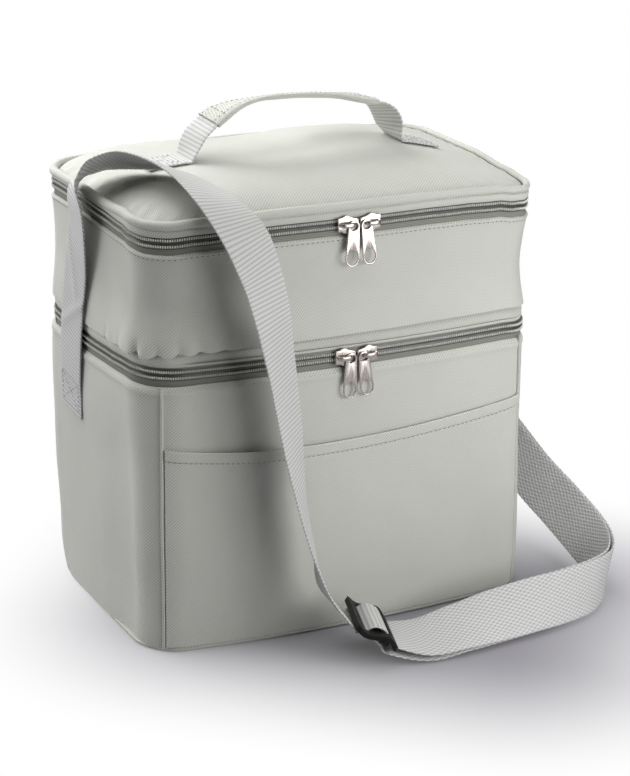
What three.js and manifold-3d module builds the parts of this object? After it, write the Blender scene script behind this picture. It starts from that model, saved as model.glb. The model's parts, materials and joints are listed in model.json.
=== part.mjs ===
import * as THREE from 'three';
import { mergeVertices } from 'three/addons/utils/BufferGeometryUtils.js';
import Module from 'manifold-3d';

const wasm = await Module();
wasm.setup();

// Two-compartment cooler bag, in millimetres.
// +Z is up, the front faces -Y, and the origin is on the floor under the middle of the bag.

// Plan of the bag: the front and back bow outwards between rounded corners
const bagWidth = 300;
const bagDepth = 208;
const bow = 10;
const cornerRadius = 28;

// Layers of the walls, from outside to inside
const fabric = 1.2;
const foam = 5;
const lining = 0.8;
const clearance = 0.3;

// Heights of the two zips and of the covered piping round the lid
const lowerZipZ = 200;
const upperZipZ = 292.5;
const lidPipingZ = 303.5;

// Zip: two coil rows on tapes, with fabric folded over the tape below and a band above
const coilGap = 1.8;
const coilHeight = 2.6;
const coilProud = 0.8;
const coilDepth = 2.1;
const tape = 0.8;
const tapeShow = 8;
const tapeOverlap = 1.2;
const bandHeight = 11;

// Pipings and seams
const lidPipingRadius = 3.2;
const basePipingRadius = 1.9;
const basePipingInset = 1;
const seamStation = 9.7;
const seamWidth = 2.2;
const seamProud = 1.1;

// Upper compartment: its wall is drawn in at the waist, and a stiff partition is its floor
const waist = 3;
const partition = 5;

// Lid: a padded dome inside its piping
const domeRise = 16.5;
const domePower = 3;

// Slip pocket on the front of the lower compartment
const pocketHeight = 150;
const pocketSag = 9;
const pocketBulge = 7.5;

// Carrying handle on the lid: webbing tails sewn down, an arch and a folded sleeve as its grip
const handleWidth = 28;
const handleSpan = 160;
const handleRise = 35.5;
const tailLength = 32;
const gripLength = 124;
const gripWall = 1.6;
const gripPlay = 0.5;

// Webbing of the handle, the ring's tab and the shoulder strap
const webbing = 1.6;
const strapWidth = 38;
const plySpread = 1.6;

// Strap ends on the sides: a sewn patch on the left, a tab with a loose ring on the right
const anchorY = 34;
const sewnEndZ = 137;
const sewnLength = 28;
const ringBarZ = 153;
const ringTilt = 16.7;
const ringBar = 4;
const ringReach = 20.9;
const ringPlay = 0.5;
const ringRadius = 1.8;
const ringInsidePlay = 4;
const ringTabLength = 27;

// Slide adjuster on the strap
const slideWidth = 50;
const slideLength = 34;
const slideThickness = 3.2;
const slideRail = 4;
const slideEndBar = 7.5;
const slideRadius = 3;
const slideMiddleBar = 5;
const slideClear = 5.2;

// Zip slider: a plate over the coils and a crown that bends back through the pull tab
const sliderLength = 16;
const sliderHeight = 12.5;
const sliderOuterEnd = 10;
const sliderInnerEnd = 7.6;
const sliderPlate = 1.6;
const sliderGap = 0.6;
const crown = 1.5;
const crownHeight = 2.4;
const crownFoot = 1.1;
const footOffset = 3.6;
const slidePlay = 0.4;

// Pull tab: a round eye at the top and an oval ring at the bottom
const tabLength = 32;
const tabThickness = 1.3;
const tabEye = 2.9;
const tabEyeWall = 1.25;
const tabRing = [3.8, 4.9];
const tabRingWall = 1.3;
const leftTabLean = 2;
const rightTabLean = -7.5;

// Colours and finishes
const fabricLook = { color: 0xbcbeb6, roughness: 0.85, metalness: 0 };
const pipingLook = { color: 0xc2c4bc, roughness: 0.85, metalness: 0 };
const liningLook = { color: 0xd2d4d6, roughness: 0.35, metalness: 0.1 };
const foamLook = { color: 0xf0f0ee, roughness: 0.9, metalness: 0 };
const tapeLook = { color: 0x85867d, roughness: 0.85, metalness: 0 };
const coilLook = { color: 0xa5a69c, roughness: 0.6, metalness: 0 };
const webbingLook = { color: 0xc6c6c9, roughness: 0.8, metalness: 0 };
const metalLook = { color: 0xdcd8d2, roughness: 0.2, metalness: 1 };
const plasticLook = { color: 0x1e1e1c, roughness: 0.45, metalness: 0 };

const group = new THREE.Group();

function addPiece(name, geometry, look) {
  const mesh = new THREE.Mesh(geometry, new THREE.MeshStandardMaterial(look));
  mesh.name = name;
  group.add(mesh);
  return mesh;
}

// A geometry from points and triangles, turned to face outwards
function closedGeometry(points, faces) {
  const at = (index) => new THREE.Vector3().fromArray(points, 3 * index);
  let volume = 0;
  for (let f = 0; f < faces.length; f += 3) {
    volume += at(faces[f]).dot(at(faces[f + 1]).cross(at(faces[f + 2])));
  }
  const geometry = new THREE.BufferGeometry();
  geometry.setAttribute('position', new THREE.Float32BufferAttribute(points, 3));
  geometry.setIndex(volume < 0 ? faces.toReversed() : faces);
  geometry.computeVertexNormals();
  return geometry;
}

// A closed solid between an outer and an inner grid of points
function gridSolid(columns, rows, outerAt, innerAt, isLoop = false) {
  const points = [];
  const faces = [];
  const index = (side, i, j) => (side * columns + (i % columns)) * rows + j;
  const quad = (a, b, c, d) => faces.push(a, b, c, a, c, d);
  for (const pointAt of [outerAt, innerAt]) {
    for (let i = 0; i < columns; i += 1) {
      for (let j = 0; j < rows; j += 1) points.push(...pointAt(i, j));
    }
  }
  const last = rows - 1;
  const spans = isLoop ? columns : columns - 1;
  for (let i = 0; i < spans; i += 1) {
    for (let j = 0; j < last; j += 1) {
      quad(index(0, i, j), index(0, i + 1, j), index(0, i + 1, j + 1), index(0, i, j + 1));
      quad(index(1, i, j), index(1, i, j + 1), index(1, i + 1, j + 1), index(1, i + 1, j));
    }
    quad(index(1, i, 0), index(1, i + 1, 0), index(0, i + 1, 0), index(0, i, 0));
    quad(index(0, i, last), index(0, i + 1, last), index(1, i + 1, last), index(1, i, last));
  }
  for (let j = 0; j < last && !isLoop; j += 1) {
    const end = columns - 1;
    quad(index(1, 0, j), index(0, 0, j), index(0, 0, j + 1), index(1, 0, j + 1));
    quad(index(0, end, j), index(1, end, j), index(1, end, j + 1), index(0, end, j + 1));
  }
  return closedGeometry(points, faces);
}

// Plan outline. Stations count round from the middle of the front, and are negative on the left.
const cornerStation = 8;
const sideStation = 13;
const halfTurn = 30;
const sideMiddle = halfTurn / 2;

function foldStation(station) {
  const along = Math.abs(station > halfTurn ? station - 2 * halfTurn : station);
  return Math.min(along, halfTurn - along);
}

function outlineAt(station, inset) {
  const turned = station > halfTurn ? station - 2 * halfTurn : station;
  const side = turned < 0 ? -1 : 1;
  const end = Math.abs(turned) > sideMiddle ? -1 : 1;
  const folded = foldStation(station);
  const halfWidth = bagWidth / 2 - inset;
  const halfDepth = bagDepth / 2 - inset;
  const flat = bagWidth / 2 - cornerRadius;
  const frontY = (x) => bow * (x / halfWidth) ** 2 - halfDepth;
  const slope = Math.atan(2 * bow * flat / halfWidth ** 2);
  const arc = (halfWidth - flat) / (1 - Math.sin(slope));
  const arcX = halfWidth - arc;
  const arcY = frontY(flat) + arc * Math.cos(slope);
  if (folded <= cornerStation) {
    const x = flat * folded / cornerStation;
    return [side * x, end * frontY(x)];
  }
  if (folded <= sideStation) {
    const sweep = (folded - cornerStation) / (sideStation - cornerStation);
    const angle = (slope - Math.PI / 2) * (1 - sweep);
    return [side * (arcX + arc * Math.cos(angle)), end * (arcY + arc * Math.sin(angle))];
  }
  const share = (folded - sideStation) / (sideMiddle - sideStation);
  return [side * halfWidth, end * arcY * (1 - share)];
}

// Stations where the facets meet: few along the straights, close together round the corners
const frontStride = 4;

function isFacetStation(station) {
  const folded = foldStation(station);
  const onFront = folded <= cornerStation && folded % frontStride === 0;
  return onFront || (folded > cornerStation && folded <= sideStation);
}

function stationsBetween(from, to) {
  const least = 0.2;
  const between = [];
  for (let station = Math.ceil(from + least); station <= to - least; station += 1) {
    if (isFacetStation(station)) between.push(station);
  }
  return [from, ...between, to];
}

function loopStations() {
  const loop = [];
  for (let station = -halfTurn + 1; station <= halfTurn; station += 1) {
    if (isFacetStation(station)) loop.push(station);
  }
  return loop;
}

// Depth below the outside of each layer's two faces
const foamOuter = fabric + clearance;
const foamInner = foamOuter + foam;
const liningOuter = foamInner + clearance;
const liningInner = liningOuter + lining;
const tapeOuter = fabric + 0.4;
const tapeInner = tapeOuter + tape;

const straight = () => 0;

// An upright wall that follows the outline between two stations, at the given heights
function wall(from, to, levels, outer, inner, drawnIn = straight) {
  const stations = stationsBetween(from, to);
  const pointAt = (inset) => (i, j) => {
    return [...outlineAt(stations[i], inset + drawnIn(levels[j])), levels[j]];
  };
  return gridSolid(stations.length, levels.length, pointAt(outer), pointAt(inner));
}

function wallLoop(levels, outer, inner) {
  const stations = loopStations();
  const pointAt = (inset) => (i, j) => [...outlineAt(stations[i], inset), levels[j]];
  return gridSolid(stations.length, levels.length, pointAt(outer), pointAt(inner), true);
}

// A solid turned round the plan outline: its profile starts and ends in the middle of the bag
function turnedSolid(startZ, profile, endZ) {
  const loop = loopStations();
  const points = [];
  const faces = [];
  for (const { inset, share = 1, z } of profile) {
    for (const station of loop) {
      const [x, y] = outlineAt(station, inset);
      points.push(share * x, share * y, z);
    }
  }
  points.push(0, 0, startZ, 0, 0, endZ);
  const count = loop.length;
  const lastRing = (profile.length - 1) * count;
  const start = profile.length * count;
  for (let i = 0; i < count; i += 1) {
    const next = (i + 1) % count;
    faces.push(start, next, i);
    for (let ring = 0; ring < lastRing; ring += count) {
      faces.push(ring + i, ring + next, ring + count + next);
      faces.push(ring + i, ring + count + next, ring + count + i);
    }
    faces.push(start + 1, lastRing + i, lastRing + next);
  }
  return closedGeometry(points, faces);
}

function flatPlate(inset, bottom, thickness) {
  const top = bottom + thickness;
  return turnedSolid(bottom, [{ inset, z: bottom }, { inset, z: top }], top);
}

// A round piping that runs right round the outline
function pipingLoop(inset, z, radius) {
  const loop = loopStations();
  const sides = 8;
  const points = [];
  const faces = [];
  for (const station of loop) {
    for (let k = 0; k < sides; k += 1) {
      const angle = 2 * Math.PI * k / sides;
      points.push(...outlineAt(station, inset - radius * Math.cos(angle)), z + radius * Math.sin(angle));
    }
  }
  for (let i = 0; i < loop.length; i += 1) {
    for (let k = 0; k < sides; k += 1) {
      const next = (i + 1) % loop.length;
      const around = (k + 1) % sides;
      faces.push(i * sides + k, next * sides + k, next * sides + around);
      faces.push(i * sides + k, next * sides + around, i * sides + around);
    }
  }
  return closedGeometry(points, faces);
}

// A flat ribbon along stations that each have a middle point and a direction across
function ribbon(stations, width, thickness, offset = 0) {
  const faceAt = (side) => (i, j) => {
    const { middle, across, normal } = stations[i];
    const point = middle.clone();
    point.addScaledVector(across, (j - 0.5) * width);
    point.addScaledVector(normal, offset + side * thickness / 2);
    return point.toArray();
  };
  return gridSolid(stations.length, 2, faceAt(1), faceAt(-1));
}

// A flattened tube round the same kind of stations
function sleeve(stations, width, height, wallThickness) {
  const cornerAt = (grow) => (i, j) => {
    const { middle, across, normal } = stations[i];
    const point = middle.clone();
    point.addScaledVector(across, (j === 0 || j === 3 ? -1 : 1) * (width / 2 + grow));
    point.addScaledVector(normal, (j < 2 ? -1 : 1) * (height / 2 + grow));
    return point.toArray();
  };
  const outerAt = cornerAt(wallThickness);
  const innerAt = cornerAt(0);
  const last = stations.length - 1;
  const along = (pointAt) => (k, i) => pointAt(i, k);
  return gridSolid(4, last + 1, along(outerAt), along(innerAt), true);
}

// Adds the direction square to each station's surface
function frameStations(list) {
  return list.map(({ middle, across }, i) => {
    const before = list[Math.max(i - 1, 0)].middle;
    const after = list[Math.min(i + 1, list.length - 1)].middle;
    const along = after.clone().sub(before).normalize();
    const square = across.clone().addScaledVector(along, -across.dot(along)).normalize();
    return { middle, along, across: square, normal: square.clone().cross(along) };
  });
}

function toSolid(geometry) {
  const plain = geometry.clone();
  plain.deleteAttribute('normal');
  plain.deleteAttribute('uv');
  const merged = mergeVertices(plain, 1e-4);
  const vertProperties = Float32Array.from(merged.attributes.position.array);
  const triVerts = Uint32Array.from(merged.index.array);
  return new wasm.Manifold(new wasm.Mesh({ numProp: 3, vertProperties, triVerts }));
}

function fromSolid(solid) {
  const { vertProperties, triVerts } = solid.getMesh();
  return closedGeometry(Array.from(vertProperties), Array.from(triVerts));
}

function unite(first, ...others) {
  return fromSolid(others.reduce((sum, piece) => sum.add(toSolid(piece)), toSolid(first)));
}

function cut(first, ...others) {
  return fromSolid(others.reduce((rest, piece) => rest.subtract(toSolid(piece)), toSolid(first)));
}

// A shape drawn in X and Z, made thick towards the front
function frontPlate(shape, thickness) {
  const settings = { depth: thickness, bevelEnabled: false, curveSegments: 10 };
  return new THREE.ExtrudeGeometry(shape, settings).rotateX(Math.PI / 2);
}

// A flat bar frame in X and Y: a rounded plate with a row of slots cut through it
function slottedPlate(width, length, radius, thickness, slotWidth, slotLength, slotMiddles) {
  const right = width / 2 - radius;
  const top = length / 2 - radius;
  const quarter = Math.PI / 2;
  const shape = new THREE.Shape();
  const corners = [[right, -top], [right, top], [-right, top], [-right, -top]];
  corners.forEach(([x, y], i) => shape.absarc(x, y, radius, (i - 1) * quarter, i * quarter));
  const settings = { depth: thickness, bevelEnabled: false, curveSegments: 4 };
  const plate = new THREE.ExtrudeGeometry(shape, settings);
  const slots = slotMiddles.map((middle) => {
    return new THREE.BoxGeometry(slotWidth, slotLength, 4 * thickness).translate(0, middle, 0);
  });
  return cut(plate, ...slots);
}

// Bottom of the bag
const basePipingZ = basePipingRadius + clearance;
const lowerWallBottom = basePipingZ + basePipingRadius + clearance;
const bottomInset = basePipingInset + basePipingRadius + clearance;
const baseFoamBottom = fabric + clearance;
const baseFoamTop = baseFoamBottom + foam;
addPiece('bottom_panel', flatPlate(bottomInset, 0, fabric), fabricLook);
addPiece('bottom_piping', pipingLoop(basePipingInset, basePipingZ, basePipingRadius), pipingLook);
addPiece('lower_base_foam', flatPlate(bottomInset, baseFoamBottom, foam), foamLook);

// Lower compartment: four outer panels that meet at the piped seams
const lowerWallTop = lowerZipZ - tapeShow;
const lowerTapeBottom = lowerWallTop - tapeOverlap;
const lowerFoamTop = lowerTapeBottom - clearance;
const backSeam = halfTurn - seamStation;
const backEnd = 2 * halfTurn - backSeam;
const cornerStep = Math.PI / 2 * cornerRadius / (sideStation - cornerStation);
const seamHalf = seamWidth / 2 / cornerStep;
const seamGap = clearance / cornerStep;
const lowerLevels = [lowerWallBottom, lowerWallTop];
for (const [name, from, to] of [
  ['lower_front_panel', -seamStation, seamStation],
  ['lower_right_panel', seamStation + seamGap, backSeam],
  ['lower_back_panel', backSeam + seamGap, backEnd - seamGap],
  ['lower_left_panel', -backSeam, -seamStation - seamGap],
]) {
  addPiece(name, wall(from, to, lowerLevels, 0, fabric), fabricLook);
}
for (const [name, station] of [['left_seam_piping', -seamStation], ['right_seam_piping', seamStation]]) {
  const proud = -clearance - seamProud;
  addPiece(name, wall(station - seamHalf, station + seamHalf, lowerLevels, proud, -clearance), pipingLook);
}

// Insulation of both compartments: plain pads at the front and back, and pads that wrap the corners
const padGap = clearance / cornerStep;
const pads = [
  ['front', -cornerStation, cornerStation],
  ['right', cornerStation + padGap, halfTurn - cornerStation - padGap],
  ['back', halfTurn - cornerStation, halfTurn + cornerStation],
  ['left', cornerStation + padGap - halfTurn, -cornerStation - padGap],
];
const lowerFoamBottom = baseFoamTop + clearance;
for (const [side, from, to] of pads) {
  const pad = wall(from, to, [lowerFoamBottom, lowerFoamTop], foamOuter, foamInner);
  addPiece(`lower_${side}_foam`, pad, foamLook);
}

// A lining is an open tub that stands inside the pads
function liningTub(bottom, levels, drawnIn = straight) {
  const outside = levels.map((z) => ({ inset: liningOuter + drawnIn(z), z }));
  const inside = levels.map((z) => ({ inset: liningInner + drawnIn(z), z })).toReversed();
  const floor = bottom + lining;
  const heel = [{ inset: liningOuter, z: bottom }];
  const toe = [{ inset: liningInner, z: floor }];
  return turnedSolid(bottom, [...heel, ...outside, ...inside, ...toe], floor);
}
addPiece('lower_lining', liningTub(lowerFoamBottom, [lowerFoamTop]), liningLook);

// Slip pocket on the front panel, sewn in at its sides and bottom and open at the top
const pocketEnd = seamStation - seamHalf - seamGap;
const pocketStations = stationsBetween(-pocketEnd, pocketEnd);
const pocketShares = [0, 0.35, 0.7, 0.9, 1];
const pocketAt = (thickness) => (i, j) => {
  const station = pocketStations[i];
  const share = pocketShares[j];
  const middle = 1 - (station / pocketEnd) ** 2;
  const bulge = pocketBulge * middle * (1 - (1 - share) ** 3);
  const top = pocketHeight - pocketSag * middle;
  const z = lowerWallBottom + share * (top - lowerWallBottom);
  return [...outlineAt(station, -clearance - bulge - thickness), z];
};
const pocket = gridSolid(pocketStations.length, pocketShares.length, pocketAt(fabric), pocketAt(0));
addPiece('front_pocket', pocket, fabricLook);

// Zips run round the front and both sides, and a fabric strip hinges the back
const zipEnd = 19.4;
const coilIn = coilGap / 2;
const coilOut = coilIn + coilHeight;
const tapeEdge = coilIn - clearance;
const coilBack = coilDepth - coilProud;
const hingeStart = zipEnd + padGap;
const hingeEnd = 2 * halfTurn - hingeStart;

function zipRow(name, zipZ, direction, reach) {
  const tapeLevels = [zipZ + direction * tapeEdge, zipZ + direction * reach].sort((a, b) => a - b);
  const coilLevels = [zipZ + direction * coilIn, zipZ + direction * coilOut].sort((a, b) => a - b);
  addPiece(`${name}_tape`, wall(-zipEnd, zipEnd, tapeLevels, tapeOuter, tapeInner), tapeLook);
  addPiece(`${name}_coil`, wall(-zipEnd, zipEnd, coilLevels, -coilProud, coilBack), coilLook);
}
zipRow('lower_zip_lower', lowerZipZ, -1, tapeShow + tapeOverlap);
zipRow('lower_zip_upper', lowerZipZ, 1, bandHeight);
zipRow('upper_zip_lower', upperZipZ, -1, tapeShow + tapeOverlap);
const lidBandBottom = upperZipZ + coilOut + clearance;
const lidBandTop = lidPipingZ - lidPipingRadius - clearance;
zipRow('upper_zip_upper', upperZipZ, 1, lidBandTop - upperZipZ - clearance);

// Upper compartment
const upperWallBottom = lowerZipZ + bandHeight + clearance;
const upperWallTop = upperZipZ - tapeShow;
const upperTapeBottom = upperWallTop - tapeOverlap;
const upperFoamTop = upperTapeBottom - clearance;
const lowerHingeTop = upperWallBottom + tapeOverlap;
const upperFoamBottom = lowerHingeTop + clearance;
const drawnIn = (z) => {
  const share = (z - upperWallBottom) / (upperWallTop - upperWallBottom);
  return waist * Math.sin(Math.PI * Math.min(Math.max(share, 0), 1));
};
const quarters = [0, 0.25, 0.5, 0.75, 1];
const levelsBetween = (bottom, top) => quarters.map((share) => bottom + share * (top - bottom));
const upperLevels = levelsBetween(upperWallBottom, upperWallTop);
addPiece('upper_wall', wall(-backSeam, backSeam, upperLevels, 0, fabric, drawnIn), fabricLook);
const upperBack = wall(backSeam + seamGap, backEnd - seamGap, upperLevels, 0, fabric, drawnIn);
addPiece('upper_back_panel', upperBack, fabricLook);
const upperFoamLevels = levelsBetween(upperFoamBottom, upperFoamTop);
for (const [side, from, to] of pads) {
  addPiece(`upper_${side}_foam`, wall(from, to, upperFoamLevels, foamOuter, foamInner, drawnIn), foamLook);
}
const partitionBottom = lowerZipZ + coilOut + clearance;
const partitionInset = tapeInner + clearance;
addPiece('partition_panel', flatPlate(partitionInset, partitionBottom, partition), foamLook);
const upperFloor = partitionBottom + partition + clearance;
addPiece('upper_lining', liningTub(upperFloor, upperFoamLevels, drawnIn), liningLook);
const lowerHinge = wall(hingeStart, hingeEnd, [lowerTapeBottom, lowerHingeTop], tapeOuter, tapeInner);
addPiece('lower_hinge_strip', lowerHinge, fabricLook);

// Lid
const upperHingeTop = lidBandBottom + tapeOverlap;
const upperHinge = wall(hingeStart, hingeEnd, [upperTapeBottom, upperHingeTop], tapeOuter, tapeInner);
addPiece('upper_hinge_strip', upperHinge, fabricLook);
addPiece('lid_band', wallLoop([lidBandBottom, lidBandTop], 0, fabric), fabricLook);
addPiece('lid_piping', pipingLoop(0, lidPipingZ, lidPipingRadius), pipingLook);
const lidInset = lidPipingRadius + clearance;
const lidRimZ = lidPipingZ + fabric;
const domeShares = [1, 0.88, 0.7, 0.45];
const domeAt = (share) => lidRimZ + domeRise * (1 - share ** domePower);

function domedSheet(depth, thickness) {
  const layer = (down) => domeShares.map((share) => ({ inset: lidInset, share, z: domeAt(share) - down }));
  const top = layer(depth).toReversed();
  const bottom = layer(depth + thickness);
  return turnedSolid(domeAt(0) - depth, [...top, ...bottom], domeAt(0) - depth - thickness);
}
addPiece('lid_top_panel', domedSheet(0, fabric), fabricLook);
addPiece('lid_foam', domedSheet(foamOuter, foam), foamLook);
addPiece('lid_lining', domedSheet(liningOuter, lining), liningLook);

// Carrying handle: the arch stands on the ends of two tails that are sewn along the lid
const lidHalf = bagWidth / 2 - lidInset;
const tailLift = clearance + webbing / 2;
const acrossLid = new THREE.Vector3(0, -1, 0);
const lidPoint = (x) => new THREE.Vector3(x, 0, domeAt(Math.abs(x) / lidHalf) + tailLift);
for (const [name, side] of [['handle_left_tail', -1], ['handle_right_tail', 1]]) {
  const tail = quarters.map((step) => {
    return { middle: lidPoint(side * (handleSpan / 2 + clearance + step * tailLength)), across: acrossLid };
  });
  addPiece(name, ribbon(frameStations(tail), handleWidth, webbing), webbingLook);
}
const archFoot = lidPoint(handleSpan / 2).z + webbing;
const archPower = 3.2;
const archAt = (x) => {
  const z = archFoot + handleRise * (1 - Math.abs(2 * x / handleSpan) ** archPower) ** 0.6;
  return { middle: new THREE.Vector3(x, 0, z), across: acrossLid };
};
const archShares = [-1, -0.985, -0.94, -0.86, -0.72, -0.5, -0.25, 0, 0.25, 0.5, 0.72, 0.86, 0.94, 0.985, 1];
const arch = frameStations(archShares.map((share) => archAt(share * handleSpan / 2)));
addPiece('handle_webbing', ribbon(arch, handleWidth, webbing), webbingLook);
const gripSteps = 12;
const grip = [];
for (let step = 0; step <= gripSteps; step += 1) grip.push(archAt(gripLength * (step / gripSteps - 0.5)));
const gripHeight = webbing + 2 * gripPlay + 2 * clearance;
const gripSleeve = sleeve(frameStations(grip), handleWidth + 2 * gripPlay, gripHeight, gripWall);
addPiece('handle_grip', gripSleeve, fabricLook);

// Zip sliders and their pull tabs, a pair on each zip that meets in the middle of the front
const sliderRadius = (bagWidth / 2) ** 2 / (2 * bow);
const sliderX = (sliderLength + slidePlay) / 2;
const tabY = sliderPlate + slidePlay;
const crownY = tabY + tabThickness + slidePlay;

function sliderBody(side) {
  const outer = side * sliderLength / 2;
  const hump = side * sliderLength / 8;
  const shape = new THREE.Shape();
  shape.moveTo(outer, -sliderOuterEnd / 2);
  shape.lineTo(hump, -sliderHeight / 2);
  shape.lineTo(-outer, -sliderInnerEnd / 2);
  shape.lineTo(-outer, sliderInnerEnd / 2);
  shape.lineTo(hump, sliderHeight / 2);
  shape.lineTo(outer, sliderOuterEnd / 2);
  const plate = frontPlate(shape, sliderPlate);
  const inner = -side * footOffset;
  const outerFoot = outer - side * crownHeight / 2;
  const root = sliderPlate / 2;
  const reach = crownY + crown - root;
  const bar = new THREE.BoxGeometry(Math.abs(outerFoot - inner) + 2 * crownFoot, crown, crownHeight);
  bar.translate((outerFoot + inner) / 2, -crownY - crown / 2, 0);
  const post = new THREE.BoxGeometry(2 * crownFoot, reach, crownHeight);
  post.translate(outerFoot, -root - reach / 2, 0);
  const foot = new THREE.CylinderGeometry(crownFoot, crownFoot, reach, 12);
  foot.translate(inner, -root - reach / 2, 0);
  return unite(plate, bar, post, foot);
}

function pullTab() {
  const eyeZ = crownFoot + clearance - tabEye;
  const topRadius = tabEye + tabEyeWall;
  const [ringX, ringZ] = tabRing;
  const bottomZ = eyeZ + topRadius - tabLength + ringZ + tabRingWall;
  const shape = new THREE.Shape();
  shape.absarc(0, eyeZ, topRadius, 0, Math.PI);
  shape.absellipse(0, bottomZ, ringX + tabRingWall, ringZ + tabRingWall, Math.PI, 2 * Math.PI);
  const eye = new THREE.Path();
  eye.absarc(0, eyeZ, tabEye, 0, 2 * Math.PI, true);
  const ring = new THREE.Path();
  ring.absellipse(0, bottomZ, ringX, ringZ, 0, 2 * Math.PI, true);
  shape.holes.push(eye, ring);
  return frontPlate(shape, tabThickness);
}

for (const [zip, zipZ] of [['lower', lowerZipZ], ['upper', upperZipZ]]) {
  for (const [side, sign, lean] of [['left', -1, leftTabLean], ['right', 1, rightTabLean]]) {
    const pair = new THREE.Group();
    const turn = Math.asin(sign * sliderX / sliderRadius);
    const [, frontY] = outlineAt(0, -coilProud - sliderGap);
    pair.position.set(sign * sliderX, frontY + sliderRadius * (1 - Math.cos(turn)), zipZ);
    pair.rotation.z = turn;
    pair.add(addPiece(`${zip}_${side}_slider`, sliderBody(sign), metalLook));
    const tab = addPiece(`${zip}_${side}_pull_tab`, pullTab(), metalLook);
    tab.position.set(-sign * footOffset, -tabY, 0);
    tab.rotation.y = THREE.MathUtils.degToRad(lean);
    pair.add(tab);
    group.add(pair);
  }
}

// Shoulder strap. Each row of the route has the middle of the webbing and the direction across it.
// The long run comes down to the slide, and the doubled stretch goes from there to the ring.
const longRoute = [
  [-153.6, 31.6, 166, 0, -1, -0.1],
  [-154.4, 27.2, 194, 0, -1, -0.2],
  [-155, 20.6, 222, 0, -1, -0.2],
  [-155.4, 12.9, 249, 0, -1, -0.2],
  [-157.5, 5, 276.5, -0.1, -1, -0.1],
  [-160, 1.4, 301.5, -0.15, -0.95, 0.1],
  [-156, -1.5, 314.5, -0.4, -0.85, 0.3],
  [-146, -6, 323.5, -0.6, -0.7, 0.4],
  [-129.4, -20, 328.3, -0.7, -0.5, 0.5],
  [-115.5, -44, 329, -0.8, -0.4, 0.4],
  [-104.7, -70.6, 323.8, -0.9, -0.4, 0.3],
  [-98.4, -101, 314.3, -0.9, -0.3, 0.1],
  [-91, -122.8, 297.3, -0.9, -0.3, -0.1],
  [-81.7, -128.5, 271.3, -0.9, -0.4, -0.1],
  [-75.7, -133.4, 244, -0.9, -0.5, -0.1],
  [-70.3, -133.9, 215, -0.8, -0.6, -0.1],
  [-65.4, -134, 186, -0.8, -0.7, -0.1],
  [-61.4, -135.7, 157.6, -0.7, -0.7, 0],
  [-57.7, -137.6, 129.5, -0.6, -0.8, 0],
  [-53.5, -140.4, 101.8, -0.5, -0.9, 0],
  [-47.8, -144.1, 74.8, -0.4, -0.9, 0.1],
  [-41.4, -147.6, 48.7, -0.2, -1, 0.1],
  [-25.1, -153.4, 27.2, -0.2, -1, 0],
  [-14.5, -156.5, 19.2, -0.25, -1, -0.05],
];
const doubledRoute = [
  [-2.7, -160, 13, -0.3, -1, -0.1],
  [24.4, -166.1, 8.5, -0.2, -0.9, -0.3],
  [52.4, -166.9, 12.5, 0, -0.9, -0.5],
  [81.4, -167.2, 16.5, 0.1, -0.7, -0.7],
  [110.7, -167.3, 19.5, 0.1, -0.5, -0.9],
  [139.6, -165.1, 20.6, 0.1, -0.3, -1],
  [166.5, -157.7, 20.8, 0, -0.1, -1],
  [187.7, -141.8, 21, -0.1, 0.1, -1],
  [198.9, -117, 23, -0.3, 0.2, -0.9],
  [201.7, -89.3, 30.2, -0.5, 0.3, -0.8],
  [197.8, -61.5, 42.5, -0.5, 0.3, -0.8],
  [188.5, -33.5, 60.2, -0.4, 0.3, -0.8],
  [177, -2, 88, -0.33, 0.55, -0.77],
  [170, 17, 104, -0.2, 0.83, -0.52],
  [166, 26, 114, -0.1, 0.93, -0.35],
  [164.3, 29, 122, 0, 1, -0.2],
];
const strap = frameStations([...longRoute, ...doubledRoute].map(([x, y, z, ...across]) => {
  return { middle: new THREE.Vector3(x, y, z), across: new THREE.Vector3(...across).normalize() };
}));

// The slide lies on top of the webbing between its long run and the doubled stretch
const longRun = strap.slice(0, longRoute.length);
const slideFrame = longRun.at(-1);
const slotWidth = slideWidth - 2 * slideRail;
const slotLength = (slideLength - 2 * slideEndBar - slideMiddleBar) / 2;
const slotMiddle = (slideMiddleBar + slotLength) / 2;
const slideSolid = slottedPlate(
  slideWidth, slideLength, slideRadius, slideThickness, slotWidth, slotLength, [-slotMiddle, slotMiddle],
);
const slide = addPiece('slide_adjuster', slideSolid, plasticLook);
const slideLift = plySpread + webbing / 2 + slideClear;
const slideBasis = new THREE.Matrix4().makeBasis(slideFrame.across, slideFrame.along, slideFrame.normal);
slide.quaternion.setFromRotationMatrix(slideBasis);
slide.position.copy(slideFrame.middle).addScaledVector(slideFrame.normal, slideLift);

// The long run, then the running ply that leaves the slide and the return ply that comes back from the ring
const doubled = strap.slice(longRoute.length);
addPiece('strap_long_run', ribbon(longRun, strapWidth, webbing), webbingLook);
addPiece('strap_running_ply', ribbon(doubled, strapWidth, webbing, plySpread), webbingLook);
addPiece('strap_return_ply', ribbon(doubled, strapWidth, webbing, -plySpread), webbingLook);

// Left end: the strap's last stretch is sewn flat on the side panel
const sidePlate = (name, x, bottom, length, thickness) => {
  const plate = new THREE.BoxGeometry(thickness, strapWidth, length);
  const piece = addPiece(name, plate, webbingLook);
  piece.position.set(x, anchorY, bottom + length / 2);
  return piece;
};
sidePlate('strap_sewn_end', -bagWidth / 2 - clearance - webbing / 2, sewnEndZ, sewnLength, webbing);

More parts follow.
